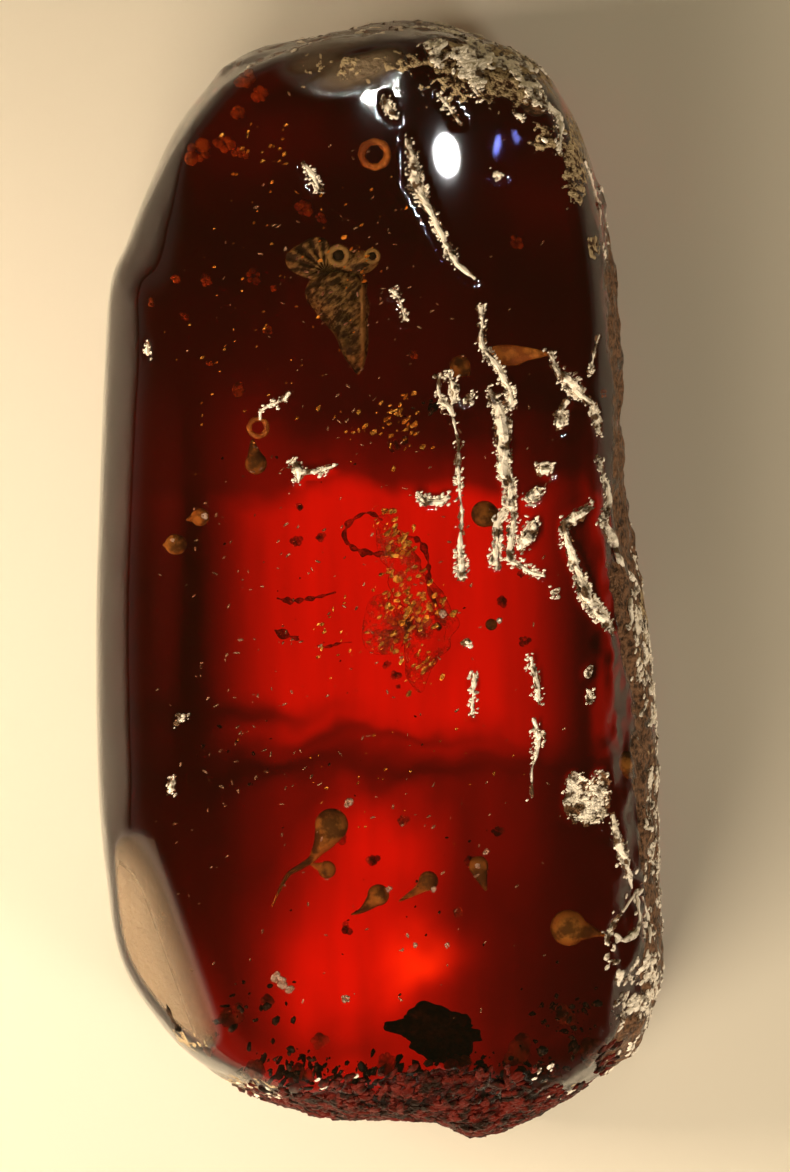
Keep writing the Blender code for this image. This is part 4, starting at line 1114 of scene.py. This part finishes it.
crumb_finish = flecked_material("dark crumbs", (0.06, 0.03, 0.015, 1), (0.008, 0.005, 0.003, 1), 2600.0, 0.7)
sealed("crumbs", make_lumps(CRUMB_HEAPS, *CRUMB_DEPTHS, CRUMB_STRETCH), crumb_finish)
foot_finish = flecked_material("dark red grains", (0.11, 0.009, 0.005, 1), (0.012, 0.005, 0.003, 1), 1500.0, 0.5)
foot_weight = dark_foot_amount(stone_points) * smooth_step(0.1, 0.5, crust_amount(stone_points))
make_grains("foot_grains", foot_weight, *FOOT_GRAINS, foot_finish, False)

# %% [markdown]
# ## Ridges along the cracks
#
# A crumbled crack isn't a row of loose grains: its lips stand up as a broken ridge. Each is a lumpy rod,
# half sunk in the stone along the crack's own path. Its heights are found on the stone's formula, because
# a ridge set by the face alone would hang in the air where the side falls away.

# %% Ridges
RIDGE_SHARE, RIDGE_SINK, RIDGE_SPAN = 0.52, 0.05, (6.0, 13.0)
FACET_CRACK = [(-8.72, -17.45, 0.03), (-8.58, -17.80, 0.10), (-8.45, -18.15, 0.06), (-8.25, -18.45, 0.12),
               (-8.10, -18.80, 0.04)]


def on_stone(path, share):
    """Rows of x, y, z and radius along a path laid on the stone, each height found between the span's ends."""
    x, y, width = np.array(path).T
    foot = np.stack([x, y, 0 * x], axis=1)
    height = to_surface(foot, foot + np.array([0.0, 0.0, 1.0]), stone_distance, *RIDGE_SPAN, 24)[:, 2]
    return np.stack([x, y, height - RIDGE_SINK, width * share], axis=1)


ridges = joined([rod(on_stone(path, RIDGE_SHARE), 8, 7, 0.75, 0.20, 53) for path in CRACKS])
sealed("crack_ridges", ridges, grains_with_painted_glints, smooth=False)
facet_crack = rod(on_stone(FACET_CRACK, 1.0), 10, 8, 0.8, 0.16, 54)
sealed("facet_crack", facet_crack, crumb_finish, smooth=False)

# %% [markdown]
# ## Drops of lighter resin
#
# A drop that fell into fresh resin kept its own colour and drew a tail. Metaballs would blend ball and
# tail, but their shape is hard to steer. Here each head is a ball, and each tail a rod whose radius swells
# to the ball and thins away. Two rings and one flake have the same orange resin.

# %% Drops
# Each drop's head is x, y and radius, and its tail is a path of x, y and radius
DROPS = [
    ((-1.91, -10.08, 0.68), [(-1.95, -10.2, 0.66), (-2.2, -10.7, 0.46), (-2.5, -11.15, 0.25), (-2.75, -11.5, 0.15),
                             (-3.2, -11.8, 0.12), (-3.75, -12.2, 0.09), (-4.35, -13.4, 0.03)]),
    ((-2.10, -11.91, 0.36), [(-2.1, -11.9, 0.33), (-2.45, -11.78, 0.16), (-2.8, -11.65, 0.05)]),
    ((0.00, -12.95, 0.44), [(0.0, -12.97, 0.42), (-0.45, -13.4, 0.2), (-0.75, -13.62, 0.1), (-1.1, -13.75, 0.03)]),
    ((2.05, -12.37, 0.40), [(2.05, -12.4, 0.38), (1.6, -12.75, 0.18), (1.2, -13.0, 0.1), (0.85, -13.2, 0.03)]),
    ((4.10, -11.75, 0.40), [(4.1, -11.8, 0.38), (4.25, -12.3, 0.22), (4.4, -12.75, 0.05)]),
    ((7.78, -14.30, 0.74), [(7.85, -14.3, 0.70), (8.4, -14.42, 0.40), (8.9, -14.55, 0.14), (9.2, -14.65, 0.04)]),
    ((-7.28, 2.53, 0.37), [(-7.3, 2.53, 0.3), (-7.6, 2.48, 0.15), (-7.8, 2.4, 0.04)]),
    ((-8.20, 1.41, 0.42), [(-8.2, 1.41, 0.36), (-8.5, 1.4, 0.2), (-8.7, 1.4, 0.04)]),
    ((4.34, 2.66, 0.54), [(4.34, 2.66, 0.4), (4.8, 2.6, 0.2), (4.9, 2.55, 0.05)]),
    ((-5.00, 4.73, 0.45), [(-5.0, 4.8, 0.42), (-5.1, 5.3, 0.2), (-5.15, 5.7, 0.06)]),
    ((9.95, -7.55, 0.45), [(9.95, -7.6, 0.4), (10.05, -8.0, 0.25), (10.1, -8.3, 0.05)]),
    ((3.34, 8.71, 0.44), [(3.34, 8.7, 0.4), (3.6, 8.5, 0.2), (3.7, 8.3, 0.05)]),
    ((4.62, -1.87, 0.24), [(4.62, -1.87, 0.2), (4.45, -2.0, 0.05)]),
]
DROP_DEPTH = 1.0
FLAKE_OUTLINE = [(1.3, 0.05), (0.5, 0.32), (-0.6, 0.45), (-1.1, 0.30), (-0.9, -0.25), (-0.2, -0.42), (0.4, -0.20)]


def make_drop(head, tail):
    """A ball with a tapering rod for its tail, both at the common depth under the face."""
    x, y, radius = head
    ball = moved(lens(circle_outline(radius), radius, radius, 32, 10), (x, y, below_surface(x, y, DROP_DEPTH)))
    rows = [(tx, ty, below_surface(tx, ty, DROP_DEPTH), small) for tx, ty, small in tail]
    return joined([ball, rod(rows, 20, 7, 0.06, 0.4)])


drop_finish = flecked_material("tan resin", (0.80, 0.38, 0.07, 1), (0.22, 0.10, 0.025, 1), 1300.0, 0.22, 0.25)
sealed("resin_drops", joined([make_drop(*drop) for drop in DROPS]), drop_finish)

ORANGE_RINGS = [((-4.92, 6.20), 0.36, 0.11), ((-0.15, 17.40), 0.52, 0.16)]
orange = [ring((x, y, below_surface(x, y, 0.9)), radius, small) for (x, y), radius, small in ORANGE_RINGS]
orange.append(moved(lens(FLAKE_OUTLINE, 0.12, 0.12, 64, 10), (5.75, 9.15, 11.3)))
orange_finish = flecked_material("orange resin", (1.0, 0.52, 0.10, 1), (0.50, 0.17, 0.03, 1), 1500.0, 0.3)
sealed("orange_rings_and_flake", joined(orange), orange_finish)

# %% [markdown]
# ## Spots and painted highlights
#
# Smoky spots of older resin and dark smudges dot the stone, and small bright beads among them are painted
# highlights. A single ball looks like a bead, so each spot is five flattened lenses of unequal size, set
# about its middle so that they overlap.

# %% Places of the spots
# Each is x, y and radius
RED_SPOTS = [
    (-5.33, 20.38, 0.46), (-4.79, 19.84, 0.33), (-5.66, 19.13, 0.29), (-7.2, 17.39, 0.5), (-6.25, 17.89, 0.37),
    (-5.62, 17.47, 0.33), (-3.05, 15.23, 0.37), (-8.11, 12.28, 0.21), (-7.03, 12.24, 0.25), (-5.13, 12.41, 0.33),
    (-4.54, 10.17, 0.21), (-6.91, 8.84, 0.17), (-5.75, 7.8, 0.33), (5.62, 13.78, 0.29), (3.34, 8.71, 0.46),
    (1.43, 9.17, 0.21), (-2.34, 14.82, 0.25), (-4.3, 11.91, 0.17), (-7.82, 10.75, 0.17), (9.03, 7.64, 0.21),
    (-9.25, 11.30, 0.20),
]
DARK_SPOTS = [
    (1.02, -9.92, 0.25), (4.88, -10.38, 0.25), (-0.23, -11.54, 0.29), (-1.31, -14.32, 0.25), (3.3, -13.65, 0.21),
    (-5.96, -17.89, 0.58), (-4.92, -19.88, 0.5), (0.73, -3.94, 0.21), (0.35, -3.49, 0.17), (0.81, -4.4, 0.12),
    (0.6, 5.48, 0.29), (1.1, 5.64, 0.21), (-3.34, 1.54, 0.25), (-2.34, 1.7, 0.21), (-3.22, 2.95, 0.17),
    (3.76, -11.58, 0.29), (4.21, -11.99, 0.33), (-1.51, -10.58, 0.29), (-4.5, -17.26, 0.29), (5.87, 0.17, 0.17),
    (2.47, -1.95, 0.21), (5.04, -0.91, 0.25), (6.0, -2.53, 0.25), (-3.2, -20.3, 0.55), (-1.2, -20.9, 0.70),
    (1.6, -20.8, 0.80), (4.2, -21.1, 0.85), (6.6, -20.3, 0.80), (8.6, -19.2, 0.65), (5.8, -19.3, 0.60),
    (3.3, -19.9, 0.50), (7.6, -17.9, 0.45), (-6.6, -18.9, 0.45), (0.3, -19.7, 0.40), (-2.4, -19.0, 0.35),
]
# Painted highlights, as small bright beads
PAINTED_HIGHLIGHT_BEADS = [
    (-1.22, -9.13, 0.23), (0.44, -12.7, 0.12), (2.3, -12.7, 0.12), (4.42, -11.16, 0.15), (0.68, 11.79, 0.23),
    (0.89, 11.33, 0.12), (1.02, 11.0, 0.15), (1.14, 10.67, 0.12), (2.64, -1.41, 0.19), (3.67, -2.66, 0.21),
    (4.96, -1.7, 0.15), (-7.12, 2.61, 0.15), (-8.4, 1.58, 0.1), (-4.20, -16.35, 0.24), (-3.95, -16.60, 0.24),
    (-3.65, -16.80, 0.20), (-1.31, -17.18, 0.17), (1.51, -14.98, 0.12), (2.8, -15.02, 0.12), (-8.40, -8.63, 0.15),
    (-7.91, -5.6, 0.12), (3.8, -5.02, 0.12), (4.05, -11.74, 0.12),
]
LENSES, LENS_AWAY, LENS_RADIUS = 5, (0.25, 0.75), (0.28, 0.62)


# %% Make the spots
def make_spots(spots, depth, flat):
    """Each spot is five small lenses that overlap: unequal radii, set about its middle at even turns."""
    pieces = []
    for x, y, radius in spots:
        turn = RANDOM.uniform(0, 2 * math.pi) + turns(LENSES)
        away = radius * RANDOM.uniform(*LENS_AWAY, LENSES)
        small = radius * RANDOM.uniform(*LENS_RADIUS, LENSES)
        for dx, dy, size in zip(away * np.cos(turn), away * np.sin(turn), small):
            lump = lens(circle_outline(size), size * flat, size * flat, 24, 5, 2.0, None, 0.08)
            pieces.append(moved(lump, (x + dx, y + dy, below_surface(x, y, depth))))
    return joined(pieces)


smoke_finish = flecked_material("red resin", (0.90, 0.20, 0.02, 1), (0.35, 0.05, 0.01, 1), 2200.0, 0.4, 0.62)
smudge_finish = flecked_material("dark smudges", (0.80, 0.25, 0.12, 1), (0.22, 0.07, 0.04, 1), 1600.0, 0.5, 0.85)
# The bright beads' finish paints highlights.
highlight_bead_finish = flecked_material("painted highlight beads", (1.0, 0.90, 0.78, 1), (0.75, 0.48, 0.34, 1), 5000.0, 0.2)
sealed("red_spots", make_spots(RED_SPOTS, 1.2, 0.5), smoke_finish)
sealed("dark_spots", make_spots(DARK_SPOTS, 1.6, 0.4), smudge_finish)
sealed("painted_highlight_beads", make_spots(PAINTED_HIGHLIGHT_BEADS, 0.45, 0.8), highlight_bead_finish)

# %% [markdown]
# ## Spangles and specks
#
# Gold spangles are thin flakes that catch the light, thickest over the larger insect. Pale specks are
# strewn under the whole face. Particles could strew them, but a seeded draw in numpy puts them in the same
# places each run. The spangles are tilted towards the raking lamp, or they would stay dull.

# %% Spangles and specks
SPANGLE_HEAPS = [
    (0.2, 2.4, 0.5, 0.6, 24, 0.28), (1.1, 1.3, 0.6, 0.9, 50, 0.30), (0.7, -0.3, 0.8, 0.8, 50, 0.30),
    (2.0, -1.1, 0.8, 0.7, 60, 0.32), (0.8, -2.1, 1.0, 0.8, 40, 0.26), (1.8, -3.5, 0.8, 1.0, 30, 0.26),
    (-1.5, -2.5, 1.5, 1.0, 26, 0.18), (0.9, 6.6, 1.0, 0.9, 34, 0.30), (0.6, 5.9, 1.2, 0.4, 18, 0.26),
    (-0.5, 6.0, 2.5, 1.2, 18, 0.20), (-4.6, 17.4, 1.6, 1.4, 28, 0.20), (-2.5, 15.0, 3.0, 1.5, 26, 0.16),
    (-1.3, 12.8, 1.8, 1.0, 22, 0.20), (-3.5, 9.5, 2.5, 2.5, 30, 0.14), (0.5, -8.0, 5.0, 3.0, 36, 0.16),
    (-6.5, 10.0, 2.0, 5.0, 30, 0.16),
]
SPECK_HEAPS = [
    (-1.0, 0.0, 8.5, 17.0, 460, 0.13), (-6.5, -6.0, 3.0, 9.0, 110, 0.13), (-1.0, 13.5, 3.5, 3.0, 60, 0.13),
]
SPANGLE_FACING, SPANGLE_THICK = (-0.32, -0.11, 0.94), 0.30
spangle_finish = flecked_material(
    "gold spangles", (1.0, 0.66, 0.12, 1), (1.0, 0.44, 0.04, 1), 3000.0, 0.34, metallic=0.6
)
speck_finish = flecked_material("pale specks", (0.80, 0.58, 0.38, 1), (0.42, 0.26, 0.15, 1), 3000.0, 0.4)
spangles = make_lumps(SPANGLE_HEAPS, 0.35, 0.8, 1.5, SPANGLE_FACING, SPANGLE_THICK)
sealed("gold_spangles", spangles, spangle_finish, smooth=False)
sealed("pale_specks", make_lumps(SPECK_HEAPS, 0.12, 0.7, 2.2), speck_finish, smooth=False)

# %% [markdown]
# ## Floor
#
# The stone stands on a plain pale sheet. The sheet is set a little lower than the stone, to leave room for
# the lamp that lights the stone from below.

# %% Floor
FLOOR_Z, FLOOR_HALF = -0.0004, 1.5
floor_mesh = bpy.data.meshes.new("floor")
floor_corners = [(x * FLOOR_HALF, y * FLOOR_HALF, FLOOR_Z) for x, y in ((-1, -1), (1, -1), (1, 1), (-1, 1))]
floor_mesh.from_pydata(floor_corners, [], [(0, 1, 2, 3)])
floor = bpy.data.objects.new("floor", floor_mesh)
bpy.context.scene.collection.objects.link(floor)
paper, paper_tree, paper_shader = blank_material("pale paper")
feed(paper_tree, paper_shader, {"Base Color": (0.80, 0.74, 0.64, 1.0), "Roughness": 0.9})
floor_mesh.materials.append(paper)

# %% [markdown]
# ## Light from below
#
# Red amber shows its colour only with light behind it. A soft lamp lies between the stone and the floor. Its
# pattern is worked out from its own surface: a flat patch under the middle, hills under the foot, a wavy
# dim band, and dark lobes that show through the stone as smoke. The stone's own body does the rest.


# %% Lamp under the stone
def area_lamp(name, place, target, size, watts, colour=(1.0, 1.0, 1.0), mirrored=True, spread=180.0, shape="RECTANGLE"):
    """A soft flat lamp that faces its target; a lamp that isn't mirrored leaves no highlight."""
    lamp = bpy.data.lights.new(name, "AREA")
    lamp.shape, lamp.energy, lamp.color, lamp.spread = shape, watts, colour, math.radians(spread)
    lamp.size, lamp.size_y = size
    made = bpy.data.objects.new(name, lamp)
    made.location = place
    made.rotation_euler = (Vector(target) - Vector(place)).to_track_quat("-Z", "Y").to_euler()
    made.visible_camera, made.visible_glossy = False, mirrored
    bpy.context.scene.collection.objects.link(made)
    return made


# Lobes: centre, reach along X and Y, and strength
GLOW_LOBES = [
    (-0.6, -15.6, 3.2, 3.4, 0.62), (0.2, -11.0, 2.4, 2.1, 0.55), (-2.8, -17.0, 1.5, 2.0, 0.28),
    (1.0, -13.5, 6.5, 7.0, 0.09), (0.5, -19.8, 4.5, 1.8, 0.13), (-1.0, 8.5, 7.0, 4.5, 0.028),
    (-4.5, 18.0, 3.5, 2.0, 0.03), (6.5, 16.0, 2.5, 2.0, 0.02), (-5.0, 5.2, 2.0, 2.2, 0.06),
]
DARK_LOBES = [
    (-5.2, -5.6, 3.2, 0.6, 0.75), (-2.6, -6.9, 2.6, 0.4, 0.55), (1.6, -6.7, 3.2, 0.3, 0.45),
    (-4.6, -7.9, 3.4, 0.6, 0.70), (1.8, -8.3, 3.4, 0.4, 0.50), (3.0, -2.0, 1.0, 2.4, 0.15),
    (3.4, -13.0, 1.2, 2.6, 0.35),
]
HOT_SPOT = (1.7, -16.0, 1.3, 1.0, 0.8)


def bell(tree, x, y, lobe):
    """A bell curve in nodes: the lobe's strength times e to the minus squared distance from its centre."""
    centre_x, centre_y, reach_x, reach_y, strength = lobe
    across = formula(tree, "MULTIPLY_ADD", x, 1.0 / reach_x, -centre_x / reach_x)
    along = formula(tree, "MULTIPLY_ADD", y, 1.0 / reach_y, -centre_y / reach_y)
    squared = formula(tree, "MULTIPLY_ADD", across, across, formula(tree, "MULTIPLY", along, along))
    return formula(tree, "MULTIPLY", formula(tree, "EXPONENT", formula(tree, "MULTIPLY", squared, -1.0)), strength)


def glow_lamp():
    """The lamp under the stone: the hills and the patch added up, streaked by noise, and dimmed by the dark lobes."""
    made = area_lamp("glow_lamp", (0.0, 0.0, -0.0002), (0.0, 0.0, 1.0), (0.020, 0.043), 0.0024, spread=80.0)
    made.data.use_nodes = True
    tree = made.data.node_tree
    place = node(tree, "NewGeometry").outputs["Position"]
    axes = node(tree, "SeparateXYZ", {0: place})
    wobble = times_plus(tree, noise(tree, place, 190.0, 3.0), 5.0, -2.5)
    x = times(tree, axes.outputs[0], 1000.0)
    y = times_plus(tree, axes.outputs[1], 1000.0, wobble)
    across = times(tree, step_node(tree, x, -7.6, -2.8), step_node(tree, x, 8.8, 3.6))
    sharp, soft = times(tree, step_node(tree, y, 4.3, 3.1), 0.7), times(tree, step_node(tree, y, 7.0, 3.0), 0.3)
    top = formula(tree, "ADD", sharp, soft)
    middle = times(tree, times(tree, top, step_node(tree, y, -8.6, -5.2)), across)
    total = times(tree, middle, 0.62)
    for lobe in GLOW_LOBES:
        total = formula(tree, "ADD", total, bell(tree, x, y, lobe))
    band = times(tree, step_node(tree, y, -1.0, -4.0), step_node(tree, y, -16.0, -11.0))
    total = formula(tree, "MAXIMUM", total, times(tree, times(tree, across, band), 0.15))
    stretched = node(tree, "Mapping", {"Vector": place, "Scale": (1.0, 0.14, 1.0)}).outputs[0]
    streaks = times_plus(tree, noise(tree, stretched, 900.0, 3.0), 0.7, 0.65)
    for lobe in DARK_LOBES:
        total = times(tree, total, formula(tree, "SUBTRACT", 1.0, bell(tree, x, y, lobe)))
    hot = bell(tree, x, y, HOT_SPOT)
    feed(tree, tree.nodes["Emission"], {
        "Strength": formula(tree, "ADD", times(tree, total, streaks), hot),
        "Color": mixed(tree, hot, (1.0, 0.17, 0.03, 1.0), (1.0, 0.75, 0.10, 1.0)),
    })


glow_lamp()
print("the lamp under the stone has", len(GLOW_LOBES), "bright and", len(DARK_LOBES), "dark lobes")

# %% [markdown]
# ## Lamps around and the room
#
# The grains need light from the side to glint, and the ground facet needs a lamp low on the left to show
# its haze, which is partly a painted reflection. That facet lamp is mirrored, and the others are kept out of
# reflections, so the polish stays dark. Four tiny lamps overhead are mirrored, and make the hard sparks that
# tell the eye that a face is polished.

# %% Lamps and world
# Each lamp: name, place, target, width and height, watts, colour, whether it is mirrored, and its spread in degrees
LAMPS = [
    ("facet_lamp", (-0.34, -0.125, 0.06), (-0.009, -0.016, 0.009), (0.10, 0.12), 0.036, (1.0, 0.58, 0.27), True, 180.0),
    ("front_lamp", (-0.075, -0.115, 0.095), (-0.016, -0.020, 0.0), (0.10, 0.10), 0.27, (1.0, 0.84, 0.62), False, 180.0),
    ("rake_lamp", (0.16, -0.14, 0.10), (0.004, 0.006, 0.011), (0.05, 0.05), 0.22, (1.0, 0.90, 0.74), False, 180.0),
    ("paper_lamp", (-0.10, -0.006, 0.06), (-0.034, -0.004, 0.0), (0.04, 0.05), 0.020, (1.0, 0.82, 0.60), False, 60.0),
    ("right_lamp", (0.36, -0.12, 0.10), (0.0, 0.0, 0.0), (0.30, 0.14), 0.15, (1.0, 0.72, 0.46), False, 180.0),
]
# Each spark: place, width and height, watts and colour
SPARKS = [
    ((0.0243, 0.0780, 0.50), (0.0092, 0.0073), 0.030, (1.0, 1.0, 1.0)),
    ((0.0000, 0.0890, 0.50), (0.0140, 0.0030), 0.018, (1.0, 1.0, 0.95)),
    ((0.0430, 0.0800, 0.50), (0.0020, 0.0040), 0.0006, (0.25, 0.30, 1.0)),
    ((0.0500, 0.0816, 0.50), (0.0030, 0.0020), 0.0002, (0.25, 0.30, 1.0)),
]
SPARK_TARGET = (0.003, 0.018, 0.012)
for lamp in LAMPS:
    area_lamp(*lamp)
for number, (place, size, watts, colour) in enumerate(SPARKS):
    area_lamp(f"spark_lamp_{number}", place, SPARK_TARGET, size, watts, colour, shape="ELLIPSE")

world = bpy.data.worlds.new("dim room")
world.use_nodes = True
bpy.context.scene.world = world
room = world.node_tree
up = node(room, "SeparateXYZ", {0: node(room, "TexCoord").outputs["Generated"]}).outputs[2]
low = step_node(room, up, 0.42, 0.0)
low = times(room, low, low)
feed(room, room.nodes["Background"], {"Color": mixed(room, low, (0.10, 0.08, 0.03, 1), (0.32, 0.24, 0.16, 1))})
bpy.context.scene.view_settings.view_transform = "Standard"
print(len(LAMPS), "lamps around and", len(SPARKS), "sparks")

# %% [markdown]
# ## Camera
#
# The camera looks straight down from 45 cm, far enough that the stone's sides hardly spread. Its lens is
# worked out, not guessed: the frame's height at the stone's middle fills the sensor.

# %% Camera
IMAGE_W, IMAGE_H, PIXEL = 790, 1172, 0.0415
ORIGIN_ACROSS, ORIGIN_DOWN = 378.5, 579
CAMERA_HEIGHT, FRAMED_HEIGHT, SENSOR = 0.45, 0.006, 36.0
camera_data = bpy.data.cameras.new("camera")
camera = bpy.data.objects.new("camera", camera_data)
bpy.context.scene.collection.objects.link(camera)
bpy.context.scene.camera = camera
camera.location = ((IMAGE_W / 2 - ORIGIN_ACROSS) * PIXEL * MM, -(IMAGE_H / 2 - ORIGIN_DOWN) * PIXEL * MM, CAMERA_HEIGHT)
camera.rotation_euler = (0.0, 0.0, 0.0)
camera_data.sensor_width = SENSOR
camera_data.lens = SENSOR * (CAMERA_HEIGHT - FRAMED_HEIGHT) / (IMAGE_H * PIXEL * MM)
camera_data.clip_start = 0.01
print("lens", round(camera_data.lens, 1), "mm")
